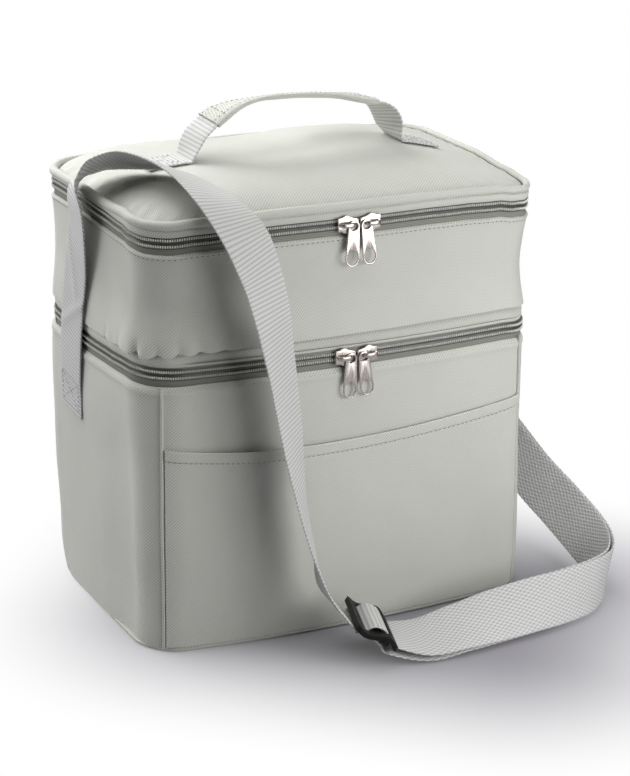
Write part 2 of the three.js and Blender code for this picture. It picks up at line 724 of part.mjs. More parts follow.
// Right end: a tab of folded webbing holds the ring that the strap passes round
const ringHole = ringBar / Math.SQRT2 + ringPlay;
const loopRadius = ringHole + webbing;
const loopX = bagWidth / 2 + clearance + loopRadius;
const tabThick = 2 * webbing;
const tabShape = new THREE.Shape();
tabShape.absarc(loopX, ringBarZ, loopRadius, Math.PI, 2.4 * Math.PI);
tabShape.lineTo(bagWidth / 2 + clearance + tabThick, ringBarZ + 2.2 * loopRadius);
tabShape.lineTo(bagWidth / 2 + clearance + tabThick, ringBarZ + ringTabLength);
tabShape.lineTo(bagWidth / 2 + clearance, ringBarZ + ringTabLength);
const tabHole = new THREE.Path();
tabHole.absarc(loopX, ringBarZ, ringHole, 0, 2 * Math.PI, true);
tabShape.holes.push(tabHole);
const ringTab = addPiece('ring_tab', frontPlate(tabShape, strapWidth), webbingLook);
ringTab.position.y = anchorY + strapWidth / 2;

// The ring hangs in the tab's fold and leans outwards
const ringInside = strapWidth + ringInsidePlay;
const ringWidth = ringInside + 2 * ringBar;
const ringSolid = slottedPlate(
  ringWidth, ringReach + ringBar, ringRadius, ringBar, ringInside, ringReach - ringBar, [0],
);
ringSolid.translate(0, -ringReach / 2, -ringBar / 2);
ringSolid.rotateX(Math.PI / 2);
ringSolid.rotateZ(Math.PI / 2);
const ring = addPiece('strap_ring', ringSolid, plasticLook);
ring.position.set(loopX, anchorY, ringBarZ);
ring.rotation.y = -THREE.MathUtils.degToRad(ringTilt);

export default group;
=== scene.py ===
import bisect
import json
import math
import bpy
from mathutils import Matrix, Vector, noise
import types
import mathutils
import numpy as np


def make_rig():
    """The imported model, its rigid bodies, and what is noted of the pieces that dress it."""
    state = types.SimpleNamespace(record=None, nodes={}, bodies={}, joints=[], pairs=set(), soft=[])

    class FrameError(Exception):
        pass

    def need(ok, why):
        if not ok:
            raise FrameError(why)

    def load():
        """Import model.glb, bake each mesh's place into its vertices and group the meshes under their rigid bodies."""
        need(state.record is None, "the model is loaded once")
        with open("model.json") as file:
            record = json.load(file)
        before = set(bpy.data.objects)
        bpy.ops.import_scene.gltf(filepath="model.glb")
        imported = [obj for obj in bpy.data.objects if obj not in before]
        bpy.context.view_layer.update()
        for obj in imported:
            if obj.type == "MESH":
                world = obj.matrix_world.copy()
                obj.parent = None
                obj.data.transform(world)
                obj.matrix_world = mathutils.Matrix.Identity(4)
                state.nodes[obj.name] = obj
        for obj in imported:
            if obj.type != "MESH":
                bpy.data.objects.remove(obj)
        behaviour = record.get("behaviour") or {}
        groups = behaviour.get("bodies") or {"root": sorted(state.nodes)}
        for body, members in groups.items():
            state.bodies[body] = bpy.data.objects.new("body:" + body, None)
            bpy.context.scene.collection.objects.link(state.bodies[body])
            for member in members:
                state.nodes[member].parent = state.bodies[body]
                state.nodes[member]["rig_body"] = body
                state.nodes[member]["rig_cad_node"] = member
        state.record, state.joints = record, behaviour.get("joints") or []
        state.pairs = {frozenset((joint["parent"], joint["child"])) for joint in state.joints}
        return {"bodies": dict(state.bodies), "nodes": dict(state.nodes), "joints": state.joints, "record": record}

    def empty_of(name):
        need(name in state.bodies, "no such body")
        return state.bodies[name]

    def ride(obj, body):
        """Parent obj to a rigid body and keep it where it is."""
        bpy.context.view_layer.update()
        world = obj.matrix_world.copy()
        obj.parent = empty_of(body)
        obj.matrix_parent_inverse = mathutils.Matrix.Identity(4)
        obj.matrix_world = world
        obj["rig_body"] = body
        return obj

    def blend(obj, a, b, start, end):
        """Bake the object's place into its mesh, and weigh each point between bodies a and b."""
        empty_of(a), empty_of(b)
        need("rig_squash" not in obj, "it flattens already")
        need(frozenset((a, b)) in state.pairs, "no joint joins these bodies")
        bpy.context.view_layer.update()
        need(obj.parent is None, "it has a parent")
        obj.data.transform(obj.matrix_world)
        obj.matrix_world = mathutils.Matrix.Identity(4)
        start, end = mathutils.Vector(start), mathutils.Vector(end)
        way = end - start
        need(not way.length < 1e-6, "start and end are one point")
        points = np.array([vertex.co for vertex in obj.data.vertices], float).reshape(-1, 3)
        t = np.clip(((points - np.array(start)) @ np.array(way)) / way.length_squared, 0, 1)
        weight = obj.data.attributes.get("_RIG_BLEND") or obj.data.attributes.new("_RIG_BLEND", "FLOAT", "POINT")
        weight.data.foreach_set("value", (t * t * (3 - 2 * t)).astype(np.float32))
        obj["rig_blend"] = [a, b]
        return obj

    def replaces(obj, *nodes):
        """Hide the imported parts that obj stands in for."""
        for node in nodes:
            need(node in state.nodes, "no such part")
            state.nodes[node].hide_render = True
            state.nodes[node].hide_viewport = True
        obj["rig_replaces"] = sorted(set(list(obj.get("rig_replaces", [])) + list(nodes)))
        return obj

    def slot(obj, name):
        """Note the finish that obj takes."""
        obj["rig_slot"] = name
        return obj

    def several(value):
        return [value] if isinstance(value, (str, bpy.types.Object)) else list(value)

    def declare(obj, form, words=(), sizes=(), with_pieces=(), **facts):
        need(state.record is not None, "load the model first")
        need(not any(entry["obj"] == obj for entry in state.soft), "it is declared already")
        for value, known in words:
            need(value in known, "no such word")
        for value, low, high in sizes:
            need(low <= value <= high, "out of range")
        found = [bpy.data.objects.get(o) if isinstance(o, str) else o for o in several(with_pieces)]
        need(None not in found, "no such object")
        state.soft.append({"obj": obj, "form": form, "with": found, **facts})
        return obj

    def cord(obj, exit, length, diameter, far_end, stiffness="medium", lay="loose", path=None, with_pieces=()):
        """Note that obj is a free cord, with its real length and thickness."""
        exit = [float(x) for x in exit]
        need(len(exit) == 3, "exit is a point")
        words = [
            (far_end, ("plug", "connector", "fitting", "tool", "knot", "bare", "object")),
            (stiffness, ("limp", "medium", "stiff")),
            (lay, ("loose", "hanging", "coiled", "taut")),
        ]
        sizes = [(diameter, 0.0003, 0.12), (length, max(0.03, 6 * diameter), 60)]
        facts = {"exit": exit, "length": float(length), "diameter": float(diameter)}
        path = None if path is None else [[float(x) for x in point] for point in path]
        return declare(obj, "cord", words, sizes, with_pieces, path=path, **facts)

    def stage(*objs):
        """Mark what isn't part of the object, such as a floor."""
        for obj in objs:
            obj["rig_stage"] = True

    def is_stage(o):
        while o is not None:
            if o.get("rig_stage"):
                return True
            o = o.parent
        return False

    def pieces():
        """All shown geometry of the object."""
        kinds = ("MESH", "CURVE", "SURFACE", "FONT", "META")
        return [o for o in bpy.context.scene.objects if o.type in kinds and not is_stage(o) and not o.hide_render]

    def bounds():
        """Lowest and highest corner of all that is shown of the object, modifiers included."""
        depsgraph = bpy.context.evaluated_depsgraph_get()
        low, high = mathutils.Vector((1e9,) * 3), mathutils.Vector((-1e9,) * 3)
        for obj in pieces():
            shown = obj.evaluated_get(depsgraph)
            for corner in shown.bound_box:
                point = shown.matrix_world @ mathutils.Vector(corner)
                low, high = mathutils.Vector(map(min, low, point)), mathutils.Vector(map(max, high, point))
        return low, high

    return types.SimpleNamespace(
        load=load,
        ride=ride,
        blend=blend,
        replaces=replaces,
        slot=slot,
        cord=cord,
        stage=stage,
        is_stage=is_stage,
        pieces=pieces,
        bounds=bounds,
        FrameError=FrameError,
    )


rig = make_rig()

# Two-deck cooler bag dressed over its CAD frame. Sizes in the dictionaries are millimetres.
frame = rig.load()
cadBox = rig.bounds()
print("frame loaded:", len(frame["nodes"]), "nodes")


# Camera: place and lens fitted to the edges of the bag in the photograph
view = {"place": (-718.9, -1473.7, 712.9), "target": (22.497, 0, 139.613), "roll": -0.847, "lens": 111.55}


def addCamera():
    data = bpy.data.cameras.new("photoCamera")
    data.sensor_width = 36
    data.lens = view["lens"]
    data.clip_start = 0.05
    data.clip_end = 30
    camera = bpy.data.objects.new("photoCamera", data)
    bpy.context.scene.collection.objects.link(camera)
    place = Vector(view["place"]) / 1000
    away = (place - Vector(view["target"]) / 1000).normalized()
    right = Vector((0, 0, 1)).cross(away).normalized()
    up = away.cross(right)
    roll = math.radians(-view["roll"])
    turnedRight = right * math.cos(roll) + up * math.sin(roll)
    turnedUp = up * math.cos(roll) - right * math.sin(roll)
    axes = Matrix((turnedRight, turnedUp, away)).transposed().to_4x4()
    camera.matrix_world = Matrix.Translation(place) @ axes
    bpy.context.scene.camera = camera


addCamera()


# Materials

def linear(code):
    # sRGB hex to the linear values that sockets take
    parts = [int(code[i:i + 2], 16) / 255 for i in (0, 2, 4)]
    return (*[p / 12.92 if p <= 0.04045 else ((p + 0.055) / 1.055) ** 2.4 for p in parts], 1)


def addNode(material, kind, values=None, links=None, **settings):
    tree = material.node_tree
    node = tree.nodes.new(kind)
    for name, value in settings.items():
        setattr(node, name, value)
    for socket, value in (values or {}).items():
        node.inputs[socket].default_value = value
    for socket, source in (links or {}).items():
        tree.links.new(source, node.inputs[socket])
    return node


def grey(value):
    return (value, value, value, 1)


def newMaterial(name, **sockets):
    material = bpy.data.materials.new(name)
    material.use_nodes = True
    shader = material.node_tree.nodes["Principled BSDF"]
    for socket, value in sockets.items():
        shader.inputs[socket.replace("_", " ")].default_value = value
    return material, shader


def ramp(material, source, stops):
    node = addNode(material, "ShaderNodeValToRGB", links={"Fac": source})
    stopsOnRamp = node.color_ramp.elements
    while len(stopsOnRamp) < len(stops):
        stopsOnRamp.new(0.5)
    for element, (place, colour) in zip(stopsOnRamp, stops):
        element.position = place
        element.color = colour
    return node.outputs["Color"]


def addBump(material, shader, height, distance, strength=1.0, under=None):
    bump = addNode(material, "ShaderNodeBump", {"Distance": distance, "Strength": strength},
                   {"Height": height})
    if under:
        material.node_tree.links.new(under, bump.inputs["Normal"])
    material.node_tree.links.new(bump.outputs["Normal"], shader.inputs["Normal"])
    return bump.outputs["Normal"]


def bands(material, coordinate, pitch, direction, distortion=0.0, detail=0.0):
    # pitch in metres; a diagonal wave counts x + y
    turns = 2 * math.pi / (20 * pitch)
    if direction == "DIAGONAL":
        turns = 2 * math.pi / (10 * math.sqrt(2) * pitch)
    values = {"Scale": turns, "Distortion": distortion, "Detail": detail, "Detail Scale": 1.0}
    node = addNode(material, "ShaderNodeTexWave", values, {"Vector": coordinate},
                   wave_type="BANDS", bands_direction=direction)
    return node.outputs["Fac"]


def weaveOf(material):
    return addNode(material, "ShaderNodeUVMap", uv_map="UVMap").outputs["UV"]


def spotsOf(material):
    return addNode(material, "ShaderNodeTexCoord").outputs["Object"]


def mapped(material, coordinate, socket, value):
    return addNode(material, "ShaderNodeMapping", {socket: value}, {"Vector": coordinate}).outputs["Vector"]


def noiseOf(material, coordinate, scale, detail=2.0):
    values = {"Scale": scale, "Detail": detail}
    return addNode(material, "ShaderNodeTexNoise", values, {"Vector": coordinate}).outputs["Fac"]


def calculate(material, operation, *inputs, kind="ShaderNodeMath", result=0):
    # sources are linked to the sockets, numbers are set on them
    links = {i: source for i, source in enumerate(inputs) if isinstance(source, bpy.types.NodeSocket)}
    values = {i: value for i, value in enumerate(inputs) if i not in links}
    return addNode(material, kind, values, links, operation=operation).outputs[result]


def paint(material, shader, source, stops, socket="Base Color"):
    material.node_tree.links.new(ramp(material, source, stops), shader.inputs[socket])


# Polyester twill: matt, with fine diagonal ribs. The ribs' light and dark is painted into the colour as painted shade
# and painted highlight, with only a faint bump, and slow random changes of tone are mixed in
twill = {"pitch": 0.0016, "light": "d1d2ca", "dark": "acada4", "relief": 0.0001}


def makeTwill(name, light, dark):
    material, shader = newMaterial(name, Roughness=0.78, Sheen_Weight=0.12, Sheen_Roughness=0.5,
                                   Specular_IOR_Level=0.3)
    weave = weaveOf(material)
    mirrored = mapped(material, weave, "Scale", (1, -1, 1))
    ribs = bands(material, mirrored, twill["pitch"], "DIAGONAL", 0.5, 1.0)
    steps = bands(material, weave, twill["pitch"] * 0.8, "DIAGONAL", 0.8, 1.0)
    threads = calculate(material, "MULTIPLY_ADD", steps, 0.35, ribs)
    slow = noiseOf(material, weave, 14.0, 3.0)
    mixed = calculate(material, "MULTIPLY_ADD", slow, 0.45, threads)
    # the colour follows the ribs: painted shade in the grooves and painted highlight on the crests, plus the slow tone
    paint(material, shader, mixed, [(0.15, linear(dark)), (1.0, linear(light))])
    addBump(material, shader, threads, twill["relief"], 0.8)
    return material


fabricTwill = makeTwill("greyPolyesterTwill", twill["light"], twill["dark"])
pipingTwill = makeTwill("pipingTwill", "d0d1c9", "b0b1a8")


# Woven webbing: slanted floats on the ribs with a darker line between. The colour follows the weave's height, as
# painted shade in the grooves and painted highlight on the floats, which gives a soft broken shine.
# The real floats are about 1.5 mm apart and are drawn a little coarser so that they show
webbingLook = {"ribPitch": 0.003, "floatPitch": 0.0019, "slant": 24, "light": "d4d4d2", "dark": "b2b2b0"}
doubledLook = {"rowPitch": 0.0025, "dotPitch": 0.0029, "light": "d6d6d4", "dark": "acacac"}


def webbingShader(name):
    material, shader = newMaterial(name, Roughness=0.62, Sheen_Weight=0.1, Specular_IOR_Level=0.35)
    return material, shader, weaveOf(material)


def makeWebbing():
    material, shader, weave = webbingShader("ribbedPolyesterWebbing")
    ribs = bands(material, weave, webbingLook["ribPitch"], "X", 0.2, 1.0)
    turned = mapped(material, weave, "Rotation", (0, 0, math.radians(webbingLook["slant"])))
    floats = bands(material, turned, webbingLook["floatPitch"], "Y", 0.3, 1.0)
    raised = calculate(material, "MULTIPLY_ADD", floats, 0.4, 0.6)
    rounded = ramp(material, ribs, [(0.0, grey(0)), (0.4, grey(0.75)), (1.0, grey(1))])
    height = calculate(material, "MULTIPLY", rounded, raised)
    # painted shade where the weave is low and painted highlight where it is high
    paint(material, shader, height, [(0.1, linear(webbingLook["dark"])),
                                     (0.85, linear(webbingLook["light"]))])
    addBump(material, shader, height, 0.00025, 0.8)
    return material


def makeDoubledWebbing():
    # the other face of the same webbing shows the floats as dots, set like bricks; the dots carry a painted highlight
    # and the gaps between them painted shade
    material, shader, weave = webbingShader("dottedPolyesterWebbing")
    along = bands(material, weave, doubledLook["rowPitch"] * 2, "X", 0.3, 1.0)
    across = bands(material, weave, doubledLook["dotPitch"], "Y", 0.3, 1.0)
    centred = [calculate(material, "SUBTRACT", wave, 0.5) for wave in (along, across)]
    bricks = calculate(material, "MULTIPLY", *centred)
    floats = calculate(material, "MULTIPLY_ADD", bricks, 2.0, 0.5)
    paint(material, shader, floats, [(0.1, linear(doubledLook["dark"])),
                                     (0.8, linear(doubledLook["light"]))])
    addBump(material, shader, floats, 0.0003, 0.8)
    return material


webbingRibs = makeWebbing()
webbingDots = makeDoubledWebbing()


# Zip tape: dense narrow-woven tape with fine lengthways ribs, darker than the fabric
def makeTape():
    material, shader = newMaterial("wovenZipTape", Roughness=0.75, Specular_IOR_Level=0.3)
    ribs = bands(material, weaveOf(material), 0.0011, "Y", 0.3, 1.0)
    paint(material, shader, ribs, [(0.0, linear("7c7d74")), (1.0, linear("97988e"))])
    addBump(material, shader, ribs, 0.00015, 0.7)
    return material


zipTape = makeTape()


# Nylon coil: smooth monofilament with a soft gloss and slight tone changes from tooth to tooth. The dark copy is
# painted shade: a sheet laid behind and between the coil rows, where the gap lies in shadow
def makeCoil(name, dark, light):
    material, shader = newMaterial(name, Roughness=0.36)
    tone = noiseOf(material, spotsOf(material), 500.0, 1.0)
    paint(material, shader, tone, [(0.3, linear(dark)), (0.7, linear(light))])
    addBump(material, shader, tone, 0.00008, 0.5)
    return material


coilNylon = makeCoil("nylonCoil", "cccdc4", "e4e5dc")
coilShade = makeCoil("shadedNylonCoil", "4b4b45", "5d5d56")


# Sewing thread: twisted and dull; on the fabric it is a little darker, so that stitches read as short dashes
def makeThread(name, dark, light):
    material, shader = newMaterial(name, Roughness=0.7)
    twist = bands(material, spotsOf(material), 0.0007, "DIAGONAL", 0.2, 0.0)
    paint(material, shader, twist, [(0.0, linear(dark)), (1.0, linear(light))])
    addBump(material, shader, twist, 0.0001, 0.6)
    return material


threads = {"fabric": makeThread("sewingThread", "62635b", "84857d"),
           "webbing": makeThread("paleSewingThread", "a2a2a4", "c4c4c6")}


# Polished nickel plate: bright and warm, with hairline rubbing that breaks up the highlights
def makeNickel():
    material, shader = newMaterial("polishedNickel", Metallic=1.0, Base_Color=linear("cfc7c0"))
    stretched = mapped(material, spotsOf(material), "Scale", (900, 900, 90))
    rubbed = noiseOf(material, stretched, 1.0, 3.0)
    paint(material, shader, rubbed, [(0.3, grey(0.2)), (0.75, grey(0.36))], "Roughness")
    addBump(material, shader, rubbed, 0.00002, 0.5)
    return material


nickel = makeNickel()


# Moulded acetal: near black, satin, with a fine moulding grain
def makeAcetal():
    material, shader = newMaterial("blackAcetal", Specular_IOR_Level=0.3)
    grain = noiseOf(material, spotsOf(material), 1400.0, 2.0)
    paint(material, shader, grain, [(0.3, linear("0d0d0c")), (0.7, linear("151514"))])
    paint(material, shader, grain, [(0.3, grey(0.5)), (0.7, grey(0.62))], "Roughness")
    addBump(material, shader, grain, 0.00005, 0.4)
    return material


acetal = makeAcetal()


# Lining film: wipe-clean silver-white film, glossy, with soft creases from folding
def makeLining():
    material, shader = newMaterial("liningFilm", Metallic=0.15, Specular_IOR_Level=0.6)
    spots = spotsOf(material)
    creases = addNode(material, "ShaderNodeTexVoronoi", {"Scale": 38.0}, {"Vector": spots},
                      feature="SMOOTH_F1")
    soft = noiseOf(material, spots, 60.0, 4.0)
    paint(material, shader, soft, [(0.3, linear("cfd2d4")), (0.7, linear("d9dbdd"))])
    paint(material, shader, soft, [(0.3, grey(0.32)), (0.7, grey(0.4))], "Roughness")
    folds = addBump(material, shader, creases.outputs["Distance"], 0.0025, 0.25)
    addBump(material, shader, soft, 0.0006, 0.3, folds)
    return material


liningFilm = makeLining()
print("materials ready")


# Mesh helpers

def deselect():
    bpy.ops.object.select_all(action="DESELECT")


def activate(piece):
    deselect()
    piece.select_set(True)
    bpy.context.view_layer.objects.active = piece


def wrapGrid(name, columns, shares, place):
    # a flat grid whose points are laid where place says; place gives a point and its weave coordinate in mm
    deselect()
    rows = len(shares) - 1
    bpy.ops.mesh.primitive_grid_add(x_subdivisions=columns, y_subdivisions=rows, size=2)
    piece = bpy.context.object
    piece.name = name
    mesh = piece.data
    mesh.name = name
    spots = [place((v.co.x + 1) / 2, shares[round((v.co.y + 1) / 2 * rows)]) for v in mesh.vertices]
    mesh.vertices.foreach_set("co", [value / 1000 for point, _ in spots for value in point])
    weave = mesh.uv_layers.active.data
    for loop in mesh.loops:
        along, up = spots[loop.vertex_index][1]
        weave[loop.index].uv = (along / 1000, up / 1000)
    mesh.update()
    return piece


def editAll(piece, *steps):
    activate(piece)
    bpy.ops.object.mode_set(mode="EDIT")
    bpy.ops.mesh.select_all(action="SELECT")
    for step in steps:
        step()
    bpy.ops.object.mode_set(mode="OBJECT")


def pickFaces(piece, test):
    # leaves the piece in edit mode with the faces selected whose middle passes the test
    editAll(piece, lambda: bpy.ops.mesh.select_mode(type="FACE"),
            lambda: bpy.ops.mesh.select_all(action="DESELECT"))
    for polygon in piece.data.polygons:
        polygon.select = test(polygon.center)
    bpy.ops.object.mode_set(mode="EDIT")


def mergeSeams(piece):
    editAll(piece, lambda: bpy.ops.mesh.remove_doubles(threshold=2e-6))


def closeEnds(piece):
    editAll(piece, lambda: bpy.ops.mesh.remove_doubles(threshold=2e-6),
            lambda: bpy.ops.mesh.fill_holes(sides=0))


def faceOutwards(piece):
    editAll(piece, lambda: bpy.ops.mesh.normals_make_consistent(inside=False))


def applyModifier(piece, kind, **settings):
    activate(piece)
    bpy.ops.object.modifier_add(type=kind)
    modifier = piece.modifiers[-1]
    for name, value in settings.items():
        setattr(modifier, name, value)
    bpy.ops.object.modifier_apply(modifier=modifier.name)


def thicken(piece, thickness):
    applyModifier(piece, "SOLIDIFY", thickness=thickness / 1000, offset=-1, use_even_offset=True)


def dress(piece, material, slot, body=None, nodes=(), angle=50):
    piece.data.materials.clear()
    piece.data.materials.append(material)
    faceOutwards(piece)
    activate(piece)
    bpy.ops.object.shade_smooth_by_angle(angle=math.radians(angle))
    if body:
        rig.ride(piece, body)
    if nodes:
        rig.replaces(piece, *nodes)
    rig.slot(piece, slot)
    return piece


def between(value, low, high):
    # 0 below low, 1 above high, smooth in the middle
    t = min(max((value - low) / (high - low), 0), 1)
    return t * t * (3 - 2 * t)


def bell(value, middle, width):
    return math.exp(-((value - middle) / width) ** 2)


def ripple(x, y, z, size):
    return noise.noise(Vector((x / size, y / size, z / size)))


def interpolate(xs, ys, x):
    i = min(max(bisect.bisect(xs, x), 1), len(xs) - 1)
    t = (x - xs[i - 1]) / (xs[i] - xs[i - 1])
    return ys[i - 1] + t * (ys[i] - ys[i - 1])


# Plan outline of the bag, counted in stations round from the middle of the front
bag = {"width": 300, "depth": 208, "bow": 10, "corner": 28, "seam": 9.7, "zipEnd": 19.4}
backSeam, backEnd = 30 - bag["seam"], 30 + bag["seam"]


def outlineAt(station, inset):
    turned = station - 60 if station > 30 else station
    side = -1 if turned < 0 else 1
    end = -1 if abs(turned) > 15 else 1
    folded = min(abs(turned), 30 - abs(turned))
    halfWidth = bag["width"] / 2 - inset
    halfDepth = bag["depth"] / 2 - inset
    flat = bag["width"] / 2 - bag["corner"]
    slope = math.atan(2 * bag["bow"] * flat / halfWidth ** 2)
    arc = (halfWidth - flat) / (1 - math.sin(slope))
    arcX = halfWidth - arc
    arcY = bag["bow"] * (flat / halfWidth) ** 2 - halfDepth + arc * math.cos(slope)
    if folded <= 8:
        x = flat * folded / 8
        return side * x, end * (bag["bow"] * (x / halfWidth) ** 2 - halfDepth)
    if folded <= 13:
        angle = (slope - math.pi / 2) * (1 - (folded - 8) / 5)
        return side * (arcX + arc * math.cos(angle)), end * (arcY + arc * math.sin(angle))
    return side * halfWidth, end * arcY * (1 - (folded - 13) / 2)


tableStations = [i / 10 - 30 for i in range(901)]
tableLengths = [0.0]
for before, after in zip(tableStations, tableStations[1:]):
    tableLengths.append(tableLengths[-1] + math.dist(outlineAt(before, 0), outlineAt(after, 0)))
frontLength = tableLengths[300]
tableLengths = [length - frontLength for length in tableLengths]
# once round the bag, from the middle of the back to the middle of the back
roundBag = (tableLengths[0], tableLengths[600])


def lengthOf(station):
    return interpolate(tableStations, tableLengths, station)


def stationOf(length):
    return interpolate(tableLengths, tableStations, length)


def spotAt(length, inset=0):
    return outlineAt(stationOf(length), inset)


def outwardAt(station):
    # unit vector out of the bag
    x0, y0 = outlineAt(station, 0)
    x1, y1 = outlineAt(station, -1)
    out = Vector((x1 - x0, y1 - y0, 0))
    return out.normalized()


# How the two decks sag: lengths round the bag and changes of height at the lower and the upper zip
sag = {
    "lower": [(-2000, 0), (-331, 0), (-290, -1), (-234, -2.6), (-200, -1.5), (-168, 0), (120, 0),
              (142, -1.8), (168, -1.8), (234, 0), (2000, 0)],
    "upper": [(-2000, 0), (-331, 0), (-289, 1.5), (-250, 2.2), (-213, 1.2), (-178, 0), (-165, -1.5),
              (-150, -2.8), (-135, -2.8), (-112, -1.5), (-80, -0.5), (-50, 0), (50, 0), (80, -0.6), (112, -2),
              (126, -4.2), (142, -5.8), (160, -5.5), (190, -3), (234, 0), (2000, 0)],
    "rim": [(-2000, 0), (-430, 0), (-331, -2), (-300, -3.5), (-215, -3.2), (-170, 0), (2000, 0)],
}


def softTable(rows, x):
    i = next(k for k in range(1, len(rows)) if x <= rows[k][0])
    (x0, y0), (x1, y1) = rows[i - 1], rows[i]
    return y0 + (y1 - y0) * between(x, x0, x1)


def sagAt(length, z):
    low = softTable(sag["lower"], length) * between(z, 150, 198)
    mix = between(z, 214, 284)
    rim = softTable(sag["rim"], length) * between(z, 296, 303)
    return low * (1 - mix) + softTable(sag["upper"], length) * mix + rim


def wallSkin(name, span, shares, heightAt, outward, thickness, step=3.0):
    # fabric that follows the outline between two stations
    first, last = lengthOf(span[0]), lengthOf(span[1])
    columns = max(2, round((last - first) / step))

    def place(u, share):
        length = first + u * (last - first)
        z = heightAt(length, share)
        x, y = spotAt(length, -outward(length, z, share))
        return (x, y, z + sagAt(length, z)), (length, z)

    piece = wrapGrid(name, columns, shares, place)
    if thickness:
        thicken(piece, thickness)
    return piece


def loopSkin(name, shares, pointAt, step=3.0, thickness=0.0):
    # a ring right round the bag; pointAt gives scale, inset, height and weave height for a length and share
    first, last = roundBag
    columns = round((last - first) / step)

    def place(u, share):
        length = first + (u % 1) * (last - first)
        scale, inset, z, up = pointAt(length, share)
        x, y = spotAt(length, inset)
        z += sagAt(length, z) * scale ** 3
        return (x * scale, y * scale, z), (first + u * (last - first), up)

    piece = wrapGrid(name, columns, shares, place)
    mergeSeams(piece)
    if thickness:
        thicken(piece, thickness)
    return piece


def evenShares(count):
    return [i / count for i in range(count + 1)]


def levelHeights(bottom, top):
    return lambda length, share: bottom + share * (top - bottom)


# Stitches: one small thread bead copied along each seam, kept per body
stitch = {"spacing": 3.7, "length": 1.9, "radius": 0.36}
stitchSpots = {}


def addStitches(body, line, thread="fabric"):
    # line gives points with their outward direction; stitches are set at even steps along it
    spots = stitchSpots.setdefault((body, thread), [])
    travelled = 0.0
    following = stitch["spacing"] / 2
    for (start, out), (end, _) in zip(line, line[1:]):
        along = end - start
        while along.length > 0 and travelled + along.length >= following:
            place = start + along * ((following - travelled) / along.length)
            spots.append((place, along.normalized(), out))
            following += stitch["spacing"]
        travelled += along.length


def wallLine(span, heightAt, outward, lift=0.1):
    first, last = lengthOf(span[0]), lengthOf(span[1])
    count = max(2, round((last - first) / 2))
    line = []
    for i in range(count + 1):
        length = first + (last - first) * i / count
        station = stationOf(length)
        z = heightAt(length)
        x, y = outlineAt(station, -outward(length, z) - lift)
        line.append((Vector((x, y, z + sagAt(length, z))), outwardAt(station)))
    return line


def copyAlong(name, template, spots):
    # joins copies of a template mesh, each turned to its along, outward and up directions
    points = [v.co.copy() for v in template.data.vertices]
    faces = [tuple(p.vertices) for p in template.data.polygons]
    allPoints = []
    allFaces = []
    for place, along, out in spots:
        across = out.cross(along).normalized()
        square = along.cross(across).normalized()
        base = len(allPoints)
        for p in points:
            allPoints.append((place + along * p.x + square * p.y + across * p.z) / 1000)
        allFaces.extend(tuple(base + i for i in face) for face in faces)
    mesh = bpy.data.meshes.new(name)
    mesh.from_pydata(allPoints, [], allFaces)
    mesh.update()
    piece = bpy.data.objects.new(name, mesh)
    bpy.context.scene.collection.objects.link(piece)
    return piece


def beadTemplate(size, segments=6, rings=4):
    # a stretched bead; length along x, depth along y, height along z
    deselect()
    bpy.ops.mesh.primitive_uv_sphere_add(segments=segments, ring_count=rings, radius=1)
    bead = bpy.context.object
    bead.rotation_euler = (0, math.pi / 2, 0)
    bpy.ops.object.transform_apply(rotation=True)
    bead.scale = size
    bpy.ops.object.transform_apply(scale=True)
    return bead


# Webbing

def smoothPath(rows, step):
    # a curve through rows of point and across direction, cut into even steps
    rows = [Vector(row) if len(row) == 3 else row for row in rows]
    fine = []
    for i in range(len(rows) - 1):
        p0, p1, p2, p3 = rows[max(i - 1, 0)], rows[i], rows[i + 1], rows[min(i + 2, len(rows) - 1)]
        for k in range(24):
            t = k / 24
            fine.append([0.5 * (2 * b + (c - a) * t + (2 * a - 5 * b + 4 * c - d) * t * t
                                + (3 * b - a - 3 * c + d) * t ** 3) for a, b, c, d in zip(p0, p1, p2, p3)])
    fine.append(list(rows[-1]))
    lengths = [0.0]
    for before, after in zip(fine, fine[1:]):
        lengths.append(lengths[-1] + math.dist(before[:3], after[:3]))
    count = max(2, round(lengths[-1] / step))
    columns = list(zip(*fine))
    stations = []
    for i in range(count + 1):
        at = lengths[-1] * i / count
        values = [interpolate(lengths, column, at) for column in columns]
        stations.append({"middle": Vector(values[:3]), "across": Vector(values[3:6]), "at": at})
    for i, station in enumerate(stations):
        along = stations[min(i + 1, count)]["middle"] - stations[max(i - 1, 0)]["middle"]
        station["along"] = along.normalized()
        across = station["across"]
        station["across"] = (across - station["along"] * across.dot(station["along"])).normalized()
        station["normal"] = station["across"].cross(station["along"])
    return stations


webbing = {"rib": 3.0, "relief": 0.17, "thickness": 1.6, "strapWidth": 38, "handleWidth": 28,
           "sewnLift": 0.85}
ribStep = webbing["rib"] / 4
flatShares = [-0.9, -0.75, -0.6, -0.45, -0.3, -0.15, 0, 0.15, 0.3, 0.45, 0.6, 0.75, 0.9]
sectionRound = [(-1, 0), (-0.985, 0.7)] + [(a, 1) for a in flatShares] + [(0.985, 0.7), (1, 0), (0.985, -0.7)]
sectionRound += [(-a, -1) for a in flatShares] + [(-0.985, -0.7)]


def webbingPiece(name, stations, width, widthAt=None, liftAt=None):
    # a flat woven band with raised ribs across it and a scalloped selvedge
    count = len(stations) - 1
    sides = len(sectionRound)

    def place(u, share):
        station = stations[round(u * count)]
        a, b = sectionRound[round(share * sides) % sides]
        rib = 0.5 + 0.5 * math.cos(2 * math.pi * station["at"] / webbing["rib"])
        half = (widthAt(station) if widthAt else width) / 2 - 0.35 * (1 - rib)
        high = b * (webbing["thickness"] / 2 - webbing["relief"] * (1 - rib) ** 1.5)
        high += liftAt(station["at"], a) if liftAt else 0
        point = station["middle"] + station["across"] * (a * half) + station["normal"] * high
        return point, (station["at"], a * half)

    piece = wrapGrid(name, count, evenShares(sides), place)
    closeEnds(piece)
    return piece


# creases where the strap twists above its sewn end: two ends along and across the webbing, width and height
strapCreases = [(138, -1.0, 92, 0.3, 3.2, 0.7), (92, 0.9, 62, -0.8, 3.2, 0.7)]


